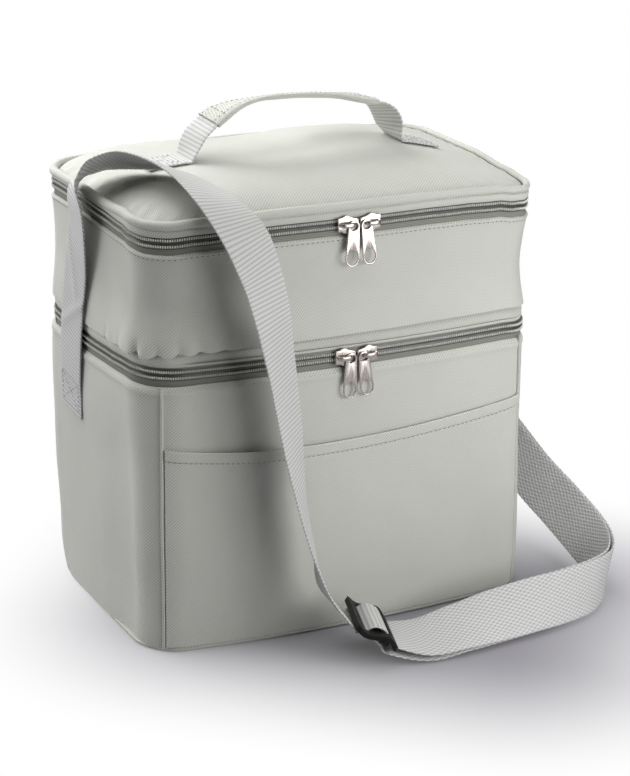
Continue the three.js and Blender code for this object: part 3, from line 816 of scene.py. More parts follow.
def strapCrease(at, a):
    lift = 0
    for at0, a0, at1, a1, width, high in strapCreases:
        along, across = at1 - at0, (a1 - a0) * webbing["strapWidth"] / 2
        total = math.hypot(along, across)
        aside = (a - a0) * webbing["strapWidth"] / 2
        share = ((at - at0) * along + aside * across) / total ** 2
        away = abs((at - at0) * across - aside * along) / total
        if -0.2 < share < 1.2:
            held = between(share, -0.2, 0.1) * (1 - between(share, 0.9, 1.2))
            lift += high * math.exp(-(away / width) ** 2) * held
    return lift


def addBoxStitches(body, stations, start, end, half, lift):
    # a sewn box with a cross in it
    def spot(at, across):
        station = min(stations, key=lambda s: abs(s["at"] - at))
        upward = station["normal"]
        return station["middle"] + station["across"] * across + upward * lift, upward

    def side(begin, to):
        count = 12
        return [spot(begin[0] + (to[0] - begin[0]) * i / count, begin[1] + (to[1] - begin[1]) * i / count)
                for i in range(count + 1)]

    corners = [(start, -half), (end, -half), (end, half), (start, half)]
    for a, b in zip(corners, corners[1:] + corners[:1]):
        addStitches(body, side(a, b), "webbing")
    addStitches(body, side(corners[0], corners[2]), "webbing")
    addStitches(body, side(corners[1], corners[3]), "webbing")


# Shoulder strap: the middle of the webbing and the direction across it, along its way
strapRoute = [
    (-152.4, 34.4, 137.5, 0, -1, 0), (-152.7, 33.4, 152, 0, -1, -0.05), (-153.8, 31.6, 166, 0, -1, -0.1),
    (-154.6, 27.2, 194, 0, -1, -0.2), (-155.2, 20.6, 222, 0, -1, -0.2), (-155.6, 12.9, 249, 0, -1, -0.2),
    (-157.5, 5, 276.5, -0.1, -1, -0.1), (-160, 1.4, 301.5, -0.15, -0.95, 0.1),
    (-156, -1.5, 314.5, -0.4, -0.85, 0.3), (-146, -6, 323.5, -0.6, -0.7, 0.4),
    (-129.4, -20, 328.3, -0.7, -0.5, 0.5), (-115.5, -44, 329, -0.8, -0.4, 0.4),
    (-104.7, -70.6, 323.8, -0.9, -0.4, 0.3), (-98.4, -101, 314.3, -0.9, -0.3, 0.1),
    (-91, -122.8, 297.3, -0.9, -0.3, -0.1), (-81.7, -128.5, 271.3, -0.9, -0.4, -0.1),
    (-75.7, -133.4, 244, -0.9, -0.5, -0.1), (-70.3, -133.9, 215, -0.8, -0.6, -0.1),
    (-65.4, -134, 186, -0.8, -0.7, -0.1), (-61.4, -135.7, 157.6, -0.7, -0.7, 0),
    (-57.7, -137.6, 129.5, -0.6, -0.8, 0), (-53.5, -140.4, 101.8, -0.5, -0.9, 0),
    (-47.8, -144.1, 74.8, -0.4, -0.9, 0.1), (-41.4, -147.6, 48.7, -0.2, -1, 0.1),
    (-25.1, -153.4, 27.2, -0.2, -1, 0)]
slideSpot = (-14.5, -156.5, 19.2, -0.25, -1, -0.05)
doubledRoute = [
    (-2.7, -160, 13, -0.3, -1, -0.1), (24.4, -166.1, 8.5, -0.2, -0.9, -0.3),
    (52.4, -166.9, 12.5, 0, -0.9, -0.5), (81.4, -167.2, 16.5, 0.1, -0.7, -0.7),
    (110.7, -167.3, 19.5, 0.1, -0.5, -0.9), (139.6, -165.1, 20.6, 0.1, -0.3, -1),
    (166.5, -157.7, 20.8, 0, -0.1, -1), (187.7, -141.8, 21, -0.1, 0.1, -1),
    (198.9, -117, 23, -0.3, 0.2, -0.9), (201.7, -89.3, 30.2, -0.5, 0.3, -0.8),
    (197.8, -61.5, 42.5, -0.5, 0.3, -0.8), (188.5, -33.5, 60.2, -0.4, 0.3, -0.8),
    (177, -2, 88, -0.33, 0.55, -0.77), (170, 17, 104, -0.2, 0.83, -0.52),
    (166, 26, 114, -0.1, 0.93, -0.35), (164.3, 29, 122, 0, 1, -0.2)]


def spotFrame(before, spot, after):
    along = (Vector(after[:3]) - Vector(before[:3])).normalized()
    across = Vector(spot[3:])
    across = (across - along * across.dot(along)).normalized()
    return Vector(spot[:3]), along, across, across.cross(along)


slidePlace, slideAlong, slideAcross, slideNormal = spotFrame(strapRoute[-1], slideSpot, doubledRoute[0])


def nearSlide(along, lift):
    point = slidePlace + slideAlong * along + slideNormal * lift
    return (*point, *slideAcross)


def shifted(rows, offset):
    # the same way, moved square to the webbing
    moved = []
    for i, row in enumerate(rows):
        before, after = rows[max(i - 1, 0)], rows[min(i + 1, len(rows) - 1)]
        _, _, _, normal = spotFrame(before, row, after)
        moved.append((*(Vector(row[:3]) + normal * offset), *row[3:]))
    return moved


def pathOf(stations):
    return [station["middle"] / 1000 for station in stations]


def addStrap():
    overBar = [nearSlide(a, n) for a, n in ((-14, 1.8), (-10.5, 3.0), (-8, 6.2), (-5.5, 10), (-2.5, 11.9),
                                            (1.5, 12.4), (5, 11.8), (8, 9.6), (10, 6.6), (14, 4.4))]
    longRun = smoothPath(strapRoute + overBar, ribStep)
    run = webbingPiece("strapLongRun", longRun, webbing["strapWidth"], None, strapCrease)
    dress(run, webbingRibs, "webbing", "base", ["strap_long_run", "strap_sewn_end"])
    # the upper ply stands off the lower one behind the slide
    lifted = [shifted(doubledRoute, 1.6)[i] if i > 2 else shifted(doubledRoute, (3.6, 3.6, 2.2)[i])[i]
              for i in range(len(doubledRoute))]
    outer = smoothPath([nearSlide(13, 4.6)] + lifted[1:], ribStep)
    outerPly = webbingPiece("strapOuterPly", outer, webbing["strapWidth"])
    dress(outerPly, webbingDots, "webbing", None, ["strap_running_ply"])
    inner = smoothPath([nearSlide(-1, 3.4), nearSlide(7, 1.2)] + shifted(doubledRoute, -1.6), ribStep)
    innerPly = webbingPiece("strapInnerPly", inner, webbing["strapWidth"])
    dress(innerPly, webbingDots, "webbing", None, ["strap_return_ply"])
    sewn = [station for station in inner if station["at"] < 45]
    addBoxStitches("base", sewn, 20, 32, 16, -webbing["sewnLift"])
    for ply, stations in ((outerPly, outer), (innerPly, inner)):
        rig.blend(ply, "base", "ring", start=(0.1885, -0.0335, 0.060), end=(0.1643, 0.029, 0.122))
        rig.cord(ply, exit=pathOf(stations)[0], length=stations[-1]["at"] / 1000, diameter=0.038,
                far_end="object", stiffness="medium", lay="loose", path=pathOf(stations))
    return run, longRun, outer, inner


longRunPiece, longRunStations, outerStations, innerStations = addStrap()
print("shoulder strap laid")


# How the soft walls stand: they swell between the seams, in millimetres outwards
lower = {"bottom": 2.0, "top": 192, "fabric": 1.2, "leftSwell": 2.0, "rightSwell": 1.6, "frontSwell": 1.4,
         "tuck": 6.5, "tuckHeight": 32, "ease": 2.2, "stitchZ": 189.0}


def facing(x, y):
    # how far a spot belongs to the left, right, front and back
    return between(-x, 100, 148), between(x, 100, 148), between(-y, 55, 98), between(y, 55, 98)


def footTuck(length, z):
    # the foam ends above the floor at the back corners, where the fabric rounds inwards
    x, y = spotAt(length)
    rest = max(0, 1 - z / lower["tuckHeight"])
    return lower["tuck"] * between(abs(x), 118, 149) * between(y, 40, 92) * rest ** 2


def cornerEase(length):
    # the left side rounds gently into the front corner
    return lower["ease"] * between(length, -228, -172) * (1 - between(length, -172, -140))


def lowerSwell(length, z):
    x, y = spotAt(length)
    left, right, front, back = facing(x, y)
    held = math.sin(math.pi * min(max((z - 2) / 192, 0), 1)) ** 0.6
    swell = left * (lower["leftSwell"] * bell(z, 165, 45) - 1.6 * bell(z, 30, 35))
    swell += right * (lower["rightSwell"] * bell(z, 30, 40) - 0.9 * bell(z, 130, 40))
    swell += (front + back) * lower["frontSwell"] * held
    swell += held * (0.9 * ripple(x, y, z, 70) + 0.35 * ripple(x + 300, y, z, 24))
    swell -= footTuck(length, z) + cornerEase(length) * (1 - between(z, 130, 185))
    bulge = sideBulge(length) * between(z, 150, 192)
    return max(swell, bulge) if left > 0.2 and z > 150 else swell


upper = {"bottom": 211.2, "frontRise": 2.8, "top": 284.5, "rightWaist": 3.0, "leftWaist": 0.8,
         "frontWaist": 2.0, "overhang": 4.2, "fabric": 1.2, "step": 1.6, "stitchZ": 281.5}
pleats = [(-155.5, 3.0), (-140.5, 1.7), (-127.5, 1.6), (-113.5, 1.3), (-97, 0.6), (-178, 0.8), (-201, 0.7)]
wallFolds = [(-157, 213, -196, 270, 11, 0.9), (-143, 213, -152, 272, 12, -1.0),
             (-186, 213, -214, 258, 9, -0.4), (-118, 225, -96, 276, 16, 0.6),
             (-60, 216, -88, 270, 16, -0.6), (64, 216, 96, 272, 16, -0.6), (30, 230, 70, 276, 14, 0.5)]


def sideBulge(length):
    # the left side stands out a little in the middle, at the zips too
    x, y = spotAt(length)
    return 2.0 * between(-x, 120, 149) * max(0, 1 - (y / 78) ** 2)


def foldAt(length, z, fold):
    # a soft ridge or hollow along a slanting line, fading at its upper end
    l0, z0, l1, z1, width, high = fold
    share = min(max((z - z0) / (z1 - z0), 0), 1)
    return high * bell(length, l0 + (l1 - l0) * share, width) * (1 - between(share, 0.6, 1.0))


def upperSwell(length, z):
    x, y = spotAt(length)
    share = min(max((z - upper["bottom"]) / (upper["top"] - upper["bottom"]), 0), 1)
    left, right, front, back = facing(x, y)
    arch = math.sin(math.pi * share)
    waist = left * upper["leftWaist"] + right * upper["rightWaist"] + front * upper["frontWaist"] + back
    swell = -arch * waist
    swell += sum(foldAt(length, z, fold) for fold in wallFolds)
    swell -= cornerEase(length) * math.sqrt(arch)
    swell += arch * (1.2 * ripple(x, y, z + 40, 60) + 0.4 * ripple(x, y + 200, z, 22))
    return swell + sideBulge(length) * (1 - between(share, 0.3, 1.0))


def wallHang(length, share):
    # the lower edge hangs out over the band, is tucked under and drawn in at the pleats
    x, y = spotAt(length)
    loose = (0.15 + 0.85 * between(-x, -60, 80)) * (0.3 + 0.7 * between(-y, 10, 80))
    hang = upper["overhang"] * loose * (1 - between(share, 0.05, 0.5))
    hang -= (upper["overhang"] * loose + 1.3) * (1 - between(share, 0, 0.024)) ** 1.5
    for middle, depth in pleats:
        hang -= 0.8 * depth * bell(length, middle, 2.4) * (1 - between(share, 0.01, 0.2))
        hang += 0.5 * depth * bell(length, middle + 7, 4) * (1 - between(share, 0.02, 0.25))
    return hang


def wallBottom(length):
    x, y = spotAt(length)
    return upper["bottom"] + upper["frontRise"] * between(-y, 60, 98) * between(x, -146, -118)


def foldedEdge(share, lip=0.7):
    # the top edge is folded over the tape: a soft lip that turns in
    return lip * bell(share, 0.975, 0.012) - 1.1 * between(share, 0.985, 1.0)


def panelShares(count):
    lip = [0.96, 0.966, 0.972, 0.98, 0.986, 0.991, 0.996, 1.0]
    return [i / count * 0.95 for i in range(count + 1)] + lip


def addLowerPanels():
    spans = {"Front": (-bag["seam"], bag["seam"]), "Right": (bag["seam"], backSeam),
             "Back": (backSeam, backEnd), "Left": (-backSeam, -bag["seam"])}
    nodes = {"Front": "lower_front_panel", "Right": "lower_right_panel", "Back": "lower_back_panel",
             "Left": "lower_left_panel"}
    for side, span in spans.items():
        def outward(length, z, share):
            return lowerSwell(length, z) + foldedEdge(share)
        piece = wallSkin("lower" + side + "Panel", span, panelShares(50),
                         levelHeights(lower["bottom"], lower["top"]), outward, lower["fabric"])
        dress(piece, fabricTwill, "outer_fabric", "base", [nodes[side]])
    addStitches("base", wallLine((-backSeam, backEnd), lambda length: lower["stitchZ"], lowerSwell))


addLowerPanels()
print("lower compartment panels done")


def addUpperWalls():
    spans = {"upperWall": ((-backSeam, backSeam), "upper_wall"),
             "upperBackPanel": ((backSeam, backEnd), "upper_back_panel")}
    shares = [0, 0.005, 0.01, 0.015, 0.02, 0.026, 0.034, 0.044, 0.056, 0.07, 0.085]
    shares += [share for share in panelShares(32) if share > 0.095]
    for name, (span, node) in spans.items():
        def outward(length, z, share):
            return upperSwell(length, z) + foldedEdge(share) + wallHang(length, share)

        def heightAt(length, share):
            bottom = wallBottom(length)
            lift = 1.9 * (1 - between(share, 0, 0.02))
            for middle, depth in pleats:
                lift += 0.8 * depth * bell(length, middle, 2.6) * (1 - between(share, 0, 0.12))
                lift -= 0.35 * depth * bell(length, middle + 7, 4) * (1 - between(share, 0, 0.12))
            return bottom + lift + share * (upper["top"] - bottom)

        piece = wallSkin(name, span, shares, heightAt, outward, upper["fabric"], upper["step"])
        dress(piece, fabricTwill, "outer_fabric", "upper_compartment", [node])
    seamLine = wallLine((-backSeam, backEnd), lambda length: upper["stitchZ"], upperSwell)
    addStitches("upper_compartment", seamLine)


addUpperWalls()
print("upper compartment walls done")


# Slip pocket: sewn in at the sides and bottom, hemmed at the top, gaping a little on the left
pocket = {"bottom": 4.0, "endHeight": 149.5, "sag": 8.5, "hem": 8.2, "gape": 3.4, "fabric": 1.2,
          "seam": 9.52, "mouthEnd": 9.5, "stitchEnd": 9.4}


def pocketTop(length):
    u = length / lengthOf(pocket["mouthEnd"])
    return pocket["endHeight"] - pocket["sag"] * (1 - u * u) * (1 - 0.35 * u)


def pocketOut(length, z, share):
    u = length / lengthOf(pocket["mouthEnd"])
    middle = max(0, 1 - u * u)
    mouth = share ** 4
    gape = pocket["gape"] * (0.35 * middle + 0.65 * bell(u, -0.55, 0.35) * (1 - abs(u) ** 6)) * mouth
    hemStart = 1 - pocket["hem"] / (pocketTop(length) - pocket["bottom"])
    hem = 0.7 * between(share, hemStart, hemStart + 0.004) - 0.35 * bell(share, hemStart, 0.006)
    edge = -0.5 * between(share, 0.994, 1.0)
    return lowerSwell(length, z) + 1.5 + 0.8 * middle * math.sin(math.pi * share) + gape + hem + edge


def addPocket():
    def heightAt(length, share):
        return pocket["bottom"] + share * (pocketTop(length) - pocket["bottom"])
    hemShares = [0.93, 0.936, 0.94, 0.943, 0.946, 0.95, 0.955, 0.965, 0.975, 0.985, 0.992, 0.996, 1.0]
    shares = [i / 40 * 0.92 for i in range(41)] + hemShares
    span = (-pocket["seam"], pocket["seam"])
    piece = wallSkin("frontPocket", span, shares, heightAt, pocketOut, pocket["fabric"])
    dress(piece, fabricTwill, "outer_fabric", "base", ["front_pocket"])

    def stitchHeight(length):
        return pocketTop(length) - pocket["hem"]

    def out(length, z):
        return pocketOut(length, z, (z - pocket["bottom"]) / (pocketTop(length) - pocket["bottom"]))
    addStitches("base", wallLine((-pocket["stitchEnd"], pocket["stitchEnd"]), stitchHeight, out))


addPocket()
print("pocket sewn on")


# Piped seams up the front corners, and round pipings at the bottom and round the lid
piping = {"seamWidth": 2.0, "seamProud": 1.2, "seamBottom": 3.0, "seamHigh": 188.5, "baseRadius": 1.5,
          "baseZ": 1.5, "baseInset": 3.0, "baseFront": 2.2, "lidRadius": 3.2, "lidZ": 304.0, "lidInset": 1.5}


def addSeamPipings():
    for name, station, node in (("leftSeamPiping", -bag["seam"], "left_seam_piping"),
                                ("rightSeamPiping", bag["seam"], "right_seam_piping")):
        middle = lengthOf(station)
        count = 90

        def place(u, share):
            z = piping["seamBottom"] + u * piping["seamHigh"]
            angle = 2 * math.pi * share
            length = middle + piping["seamWidth"] / 2 * math.cos(angle) + 0.5 * ripple(0, middle, z, 40)
            proud = 0.7 + piping["seamProud"] * math.sin(angle)
            x, y = spotAt(length, -lowerSwell(length, z) - proud)
            return (x, y, z), (z, 3 * angle)

        piece = wrapGrid(name, count, evenShares(10), place)
        closeEnds(piece)
        dress(piece, pipingTwill, "piping_fabric", "base", [node])


addSeamPipings()


def roundPiping(name, inset, z, radius, node, body, wander, thin=0.0, front=0.0):
    def pointAt(length, share):
        angle = 2 * math.pi * share
        x, y = spotAt(length)
        move = wander * ripple(x, y, z, 45)
        size = radius * (1 + 0.05 * ripple(x, y, z + 90, 14)) * (1 - thin * between(x, 10, 120))
        out = move - footTuck(length, z) + front * between(-y, 82, 100)
        height = z + 0.6 * move + size * math.sin(angle)
        return 1.0, inset - out - size * math.cos(angle), height, radius * angle
    piece = loopSkin(name, evenShares(14), pointAt, 2.5)
    dress(piece, pipingTwill, "piping_fabric", body, [node], 80)
    return piece


roundPiping("bottomPiping", piping["baseInset"], piping["baseZ"], piping["baseRadius"], "bottom_piping",
            "base", 0.0, 0.0, piping["baseFront"])
roundPiping("lidPiping", piping["lidInset"], piping["lidZ"], piping["lidRadius"], "lid_piping", "lid",
            0.5, 0.25)
print("pipings done")


# Zips: tapes, coil rows, the band above the lower zip and the band under the lid's piping
zips = {"lowerZ": 200, "upperZ": 292.5, "coilMiddle": 2.1, "coilPitch": 1.6, "tapeIn": 1.6, "tapeFrom": 3.2,
        "tape": 0.8, "bed": 0.9, "bedFrom": 0.15, "bedTo": 4.3}
zipRows = [("lower", "Lower", -1, 9.2, "base"), ("lower", "Upper", 1, 7.0, "upper_compartment"),
           ("upper", "Lower", -1, 9.2, "upper_compartment"), ("upper", "Upper", 1, 5.5, "lid")]


def addZipRow(zipName, half, direction, reach, body, toothBead):
    name, node = zipName + "Zip" + half, zipName + "_zip_" + half.lower()
    zipZ = zips[zipName + "Z"]
    span = (-bag["zipEnd"], bag["zipEnd"])

    def levels(near, far):
        return levelHeights(*sorted((zipZ + direction * near, zipZ + direction * far)))

    def tapeOut(length, z, share):
        return sideBulge(length) * bulged - zips["tapeIn"]

    def shadeSheetOut(length, z, share):
        return sideBulge(length) * bulged - 1.15 + 0.75 * bell(abs(z - zipZ), zips["coilMiddle"], 1.5)

    bulged = 1 if zipZ < 250 else 0
    tape = wallSkin(name + "Tape", span, evenShares(8), levels(zips["tapeFrom"], reach), tapeOut,
                    zips["tape"])
    dress(tape, zipTape, "zip_tape", body, [node + "_tape"])
    # a dark sheet under the coil rows: painted shade for the shadowed gap between and beside the rows
    bed = wallSkin(name + "CoilBed", span, evenShares(10), levels(zips["bedFrom"], zips["bedTo"]), shadeSheetOut,
                   zips["bed"], 2.0)
    dress(bed, coilShade, "zip_coil", body)
    spots = []
    first, last = lengthOf(span[0]), lengthOf(span[1])
    count = round((last - first) / zips["coilPitch"])
    for i in range(count + 1):
        length = first + (last - first) * i / count
        station = stationOf(length)
        x, y = outlineAt(station, 0.15 - sideBulge(length) * bulged)
        out = outwardAt(station)
        along = Vector((-out.y, out.x, 0))
        lean = (along + Vector((0, 0, -0.12 * direction))).normalized()
        z = zipZ + direction * zips["coilMiddle"]
        spots.append((Vector((x, y, z + sagAt(length, z))), lean, out))
    coil = copyAlong(name + "Coil", toothBead, spots)
    dress(coil, coilNylon, "zip_coil", body, [node + "_coil"], 80)


toothBead = beadTemplate((0.55, 0.6, 1.15), 6, 5)
for zipRow in zipRows:
    addZipRow(*zipRow, toothBead)
bpy.data.objects.remove(toothBead)


def addBands():
    # fabric band between the lower zip and the upper wall, and the band under the lid's piping
    span = (-bag["zipEnd"], bag["zipEnd"])

    def lowOut(length, z, share):
        x, y = spotAt(length)
        sunk = 2.4 * between(-y, 70, 100) * between(x, -138, -112) * between(share, 0.15, 0.35)
        roll = 1.5 * math.sin(math.pi * min(1, share * 1.1)) - 1.2 * between(share, 0.7, 1.0)
        return sideBulge(length) - 1.8 + roll - sunk
    band = wallSkin("lowerZipBand", span, evenShares(14), levelHeights(204.3, 214.5), lowOut, 1.0)
    dress(band, fabricTwill, "outer_fabric", "upper_compartment")

    def lidOut(length, share):
        z = 296.2 + share * 5.8
        out = -0.6 + 1.0 * math.sin(math.pi * share) ** 0.7 - 1.2 * between(share, 0.75, 1.0)
        return 1.0, -out, z, z
    lidBand = loopSkin("lidBand", evenShares(14), lidOut, 3.0, 1.0)
    dress(lidBand, fabricTwill, "outer_fabric", "lid", ["lid_band"])


addBands()


# Fabric strips that hinge the back, sewn inside the edges above and below
hingeStrips = [
    ("lowerHingeStrip", 189.5, 213.0, zips["lowerZ"], ("base", "upper_compartment"), "lower_hinge_strip"),
    ("upperHingeStrip", 282.0, 298.5, zips["upperZ"], ("upper_compartment", "lid"), "upper_hinge_strip")]


def addHingeStrips():
    for name, low, high, joint, pair, node in hingeStrips:
        def outward(length, z, share):
            return -1.5 + 0.9 * bell(z, joint, 5)
        strip = wallSkin(name, (bag["zipEnd"], 60 - bag["zipEnd"]), evenShares(24),
                         levelHeights(low, high), outward, 0.9)
        dress(strip, fabricTwill, "outer_fabric", None, [node])
        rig.blend(strip, *pair, start=(0, 0.104, (joint - 7) / 1000), end=(0, 0.104, (joint + 5) / 1000))


addHingeStrips()
print("zips and hinge strips done")


# Lid: a padded top that domes inside its piping
lid = {"inset": 4.9, "rimZ": 303.6, "rise": 17.0, "power": 3.2, "leftPower": 3.0, "fabric": 1.2, "hump": 4.2}


def lidTone(x, y):
    # slow hollows and humps of the padding; the right half stands higher behind
    tone = 1.2 * ripple(x, y, 10, 75) + 0.5 * ripple(x, y, 60, 28)
    tone -= 2.4 * bell(math.hypot(x + 100, y + 66), 0, 24)
    tone += lid["hump"] * between(x, -6, 30) * (1 - between(x, 62, 118)) * bell(y, 24, 42)
    tone -= 1.2 * bell(math.hypot(x + 34, y - 22), 0, 40)
    return tone


def lidHeight(x, y, share):
    power = lid["power"] + lid["leftPower"] * between(-x, 20, 120)
    return lid["rimZ"] + lid["rise"] * (1 - share ** power) + lidTone(x, y) * (1 - share ** 5)


def addLid():
    shares = [1.0, 0.993, 0.985, 0.975, 0.96, 0.94, 0.915, 0.885] + [0.85 - 0.85 * i / 34 for i in range(35)]

    def place(u, share):
        first, last = roundBag
        length = first + (u % 1) * (last - first)
        x, y = spotAt(length, lid["inset"])
        x, y = x * share, y * share
        gather = 0.5 * math.sin(length / 2.4) * bell(share, 0.97, 0.03)
        gather += sagAt(length, lid["rimZ"]) * share ** 3
        return (x, y, lidHeight(x, y, share) + gather), (x, y)

    top = wrapGrid("lidTopPanel", 300, shares, place)
    mergeSeams(top)
    dress(top, fabricTwill, "outer_fabric", None, ["lid_top_panel"])
    thicken(top, lid["fabric"])
    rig.ride(top, "lid")


addLid()
print("lid domed")


def discPoint(rows, count, share, inset, z, shrink):
    # inset, scale and height: the rows at the edge first, then rings that shrink towards the middle
    index = round(share * count)
    if index < len(rows):
        return rows[index]
    return inset, 1 - (index - len(rows)) / (count - len(rows)) * shrink, z


# Linings: open tubs with a flange that covers the edge of the padding, and the lid's underside
linings = {"film": 0.5, "inset": 7.4, "step": 5.0}


def addLinings():
    def tub(name, bottom, top, body, nodes, profile):
        shares = evenShares(len(profile) - 1)

        def pointAt(length, share):
            inset, z = profile[round(share * (len(profile) - 1))]
            scale = 1.0
            # large insets stand for the rings of the tub's floor
            if inset > 60:
                scale = (160 - inset) / 100
                inset = 11
            x, y = spotAt(length)
            crease = 0.7 * ripple(x, y, z, 30) if 12 < z - bottom < top - bottom - 12 else 0
            return scale, inset + crease, z, z
        piece = loopSkin(name, shares, pointAt, linings["step"])
        thicken(piece, linings["film"])
        dress(piece, liningFilm, "lining_film", body, nodes)

    def sides(bottom, top, drawn):
        rows = [(linings["inset"] + drawn(z), z) for z in [top - (top - bottom) * i / 16 for i in range(17)]]
        return rows + [(8.4, bottom - 1.2), (11, bottom - 1.8), (80, bottom - 1.8), (120, bottom - 1.8),
                       (160, bottom - 1.8)]
    lowerRim = [(2.6, 190.0), (3.4, 191.0), (4.6, 191.4), (6.0, 191.0), (7.0, 189.8)]
    tub("lowerLining", 10, 188, "base",
        ["lower_lining", "lower_base_foam", "lower_front_foam", "lower_right_foam", "lower_back_foam",
         "lower_left_foam"], lowerRim + sides(10, 187.5, lambda z: 0))
    upperRim = [(2.6, 282.7), (3.4, 283.7), (4.6, 284.1), (6.0, 283.7), (7.0, 282.5)]
    tub("upperLining", 213, 280.5, "upper_compartment",
        ["upper_lining", "upper_front_foam", "upper_right_foam", "upper_back_foam", "upper_left_foam"],
        upperRim + sides(212.5, 280.5, lambda z: 2.4 * math.sin(math.pi * (z - 212.5) / 66)))

    def underLid(length, share):
        rows = [(2.4, 1.0, 296.7), (3.6, 1.0, 296.1), (5.2, 1.0, 296.5), (6.4, 1.0, 297.9)]
        inset, scale, z = discPoint(rows, 40, share, 7.5, 298.1, 1)
        z += 14.5 * (1 - scale ** 3)
        return scale, inset, z, z
    under = loopSkin("lidLining", evenShares(40), underLid, linings["step"])
    thicken(under, linings["film"])
    dress(under, liningFilm, "lining_film", "lid", ["lid_lining", "lid_foam"])

    def floorUnder(length, share):
        rows = [(6.0, 1.0, 208.6), (3.6, 1.0, 208.2), (2.9, 1.0, 206.8), (3.2, 1.0, 205.0),
                (4.6, 1.0, 204.0)]
        inset, scale, z = discPoint(rows, 16, share, 8.0, 203.8, 0.98)
        return scale, inset, z, z
    plate = loopSkin("partitionPanel", evenShares(16), floorUnder, linings["step"])
    editAll(plate, lambda: bpy.ops.mesh.fill_holes(sides=0))
    dress(plate, liningFilm, "lining_film", "upper_compartment", ["partition_panel"])


addLinings()


def addBottom():
    def pointAt(length, share):
        rows = [(2.6, 1.0, 3.4), (2.2, 1.0, 1.6), (3.0, 1.0, 0.5), (4.5, 1.0, 0.1)]
        inset, scale, z = discPoint(rows, 15, share, 6.0, 0.05, 0.98)
        inset += footTuck(length, 0)
        x, y = spotAt(length, inset)
        return scale, inset, z, y * scale
    bottom = loopSkin("bottomPanel", evenShares(15), pointAt, linings["step"])
    editAll(bottom, lambda: bpy.ops.mesh.fill_holes(sides=0))
    dress(bottom, fabricTwill, "outer_fabric", "base", ["bottom_panel"])


addBottom()
print("linings and bottom done")


# Carrying handle: tails sewn along the lid, the webbing arch and the folded sleeve
handle = {"tailEnd": 111.5, "foot": 84, "sleeveHalf": 62, "sleeveWidth": 31.5, "sleeveMiddle": 19.5,
          "sleeveHigh": 5.4, "sleeveMiddleHigh": 3.6, "tilt": 14, "leftTwist": 8, "rightTwist": 22}
archPoints = [(-80.4, 320.4), (-78.3, 324.3), (-75.8, 329.6), (-71.6, 336.4), (-66, 341.8), (-58, 347.6),
              (-45, 353.4), (-30, 356.4), (-15, 357.4), (0, 357.2), (15, 356.4), (30, 355), (45, 352.6),
              (58, 349.8), (66, 347), (72, 342.6), (76.4, 336), (78.6, 329.6), (80.2, 324.4), (82.4, 320.8)]


def handleRow(x, z):
    # one station of the handle's webbing: the legs are twisted a little and the middle leans back
    twist = math.radians(handle["leftTwist"] if x < 0 else handle["rightTwist"])
    twist *= between(z, 321, 334) * between(abs(x), 40, 66)
    tilt = math.radians(handle["tilt"]) * (1 - between(abs(x), 20, 60))
    return x, 0.0, z, math.sin(twist), -math.cos(twist), math.tan(tilt)


def tailRows(side):
    rows = []
    for i in range(6):
        x = side * (handle["foot"] + (handle["tailEnd"] - handle["foot"]) * i / 5)
        share = abs(x) / (bag["width"] / 2 - lid["inset"])
        sagged = sagAt(side * 234, lid["rimZ"]) * share ** 3
        rows.append((x, 0.0, lidHeight(x, 0, share) + sagged + 1.0, 0.0, -1.0, 0.0))
    return rows


def addHandle():
    rows = tailRows(-1)[::-1] + [handleRow(x, z) for x, z in archPoints] + tailRows(1)
    stations = smoothPath(rows, ribStep)

    def widthAt(station):
        # drawn together inside the sleeve
        return webbing["handleWidth"] - 12 * (1 - between(abs(station["middle"].x), 28, 56))

    band = webbingPiece("handleWebbing", stations, webbing["handleWidth"], widthAt)
    dress(band, webbingRibs, "webbing", None, ["handle_webbing", "handle_left_tail", "handle_right_tail"])
    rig.blend(band, "lid", "handle", start=(0, 0, 0.3225), end=(0, 0, 0.3370))
    total = stations[-1]["at"]
    addBoxStitches("lid", stations, 3, 24, 10, webbing["sewnLift"])
    addBoxStitches("lid", stations, total - 24, total - 3, 10, webbing["sewnLift"])
    return stations


handleStations = addHandle()


def sleeveSize(station):
    share = between(abs(station["middle"].x), 26, 58)
    width = handle["sleeveMiddle"] + (handle["sleeveWidth"] - handle["sleeveMiddle"]) * share
    high = handle["sleeveMiddleHigh"] + (handle["sleeveHigh"] - handle["sleeveMiddleHigh"]) * share
    return width, high


def sleeveTop(station, across):
    # height of the folded fabric above the webbing's middle, with a groove where the two folds meet
    width, high = sleeveSize(station)
    c = min(1, abs(2 * across / width)) ** (1 / 0.55)
    return (1 - c * c) ** 0.375 * high / 2 - 0.3 * high * bell(across, 0.04 * width, 0.05 * width)


def sleevePoint(station, across):
    # a point on top of the sleeve with its outward direction
    lift = station["normal"] * sleeveTop(station, across)
    return station["middle"] + station["across"] * across + lift, station["normal"]


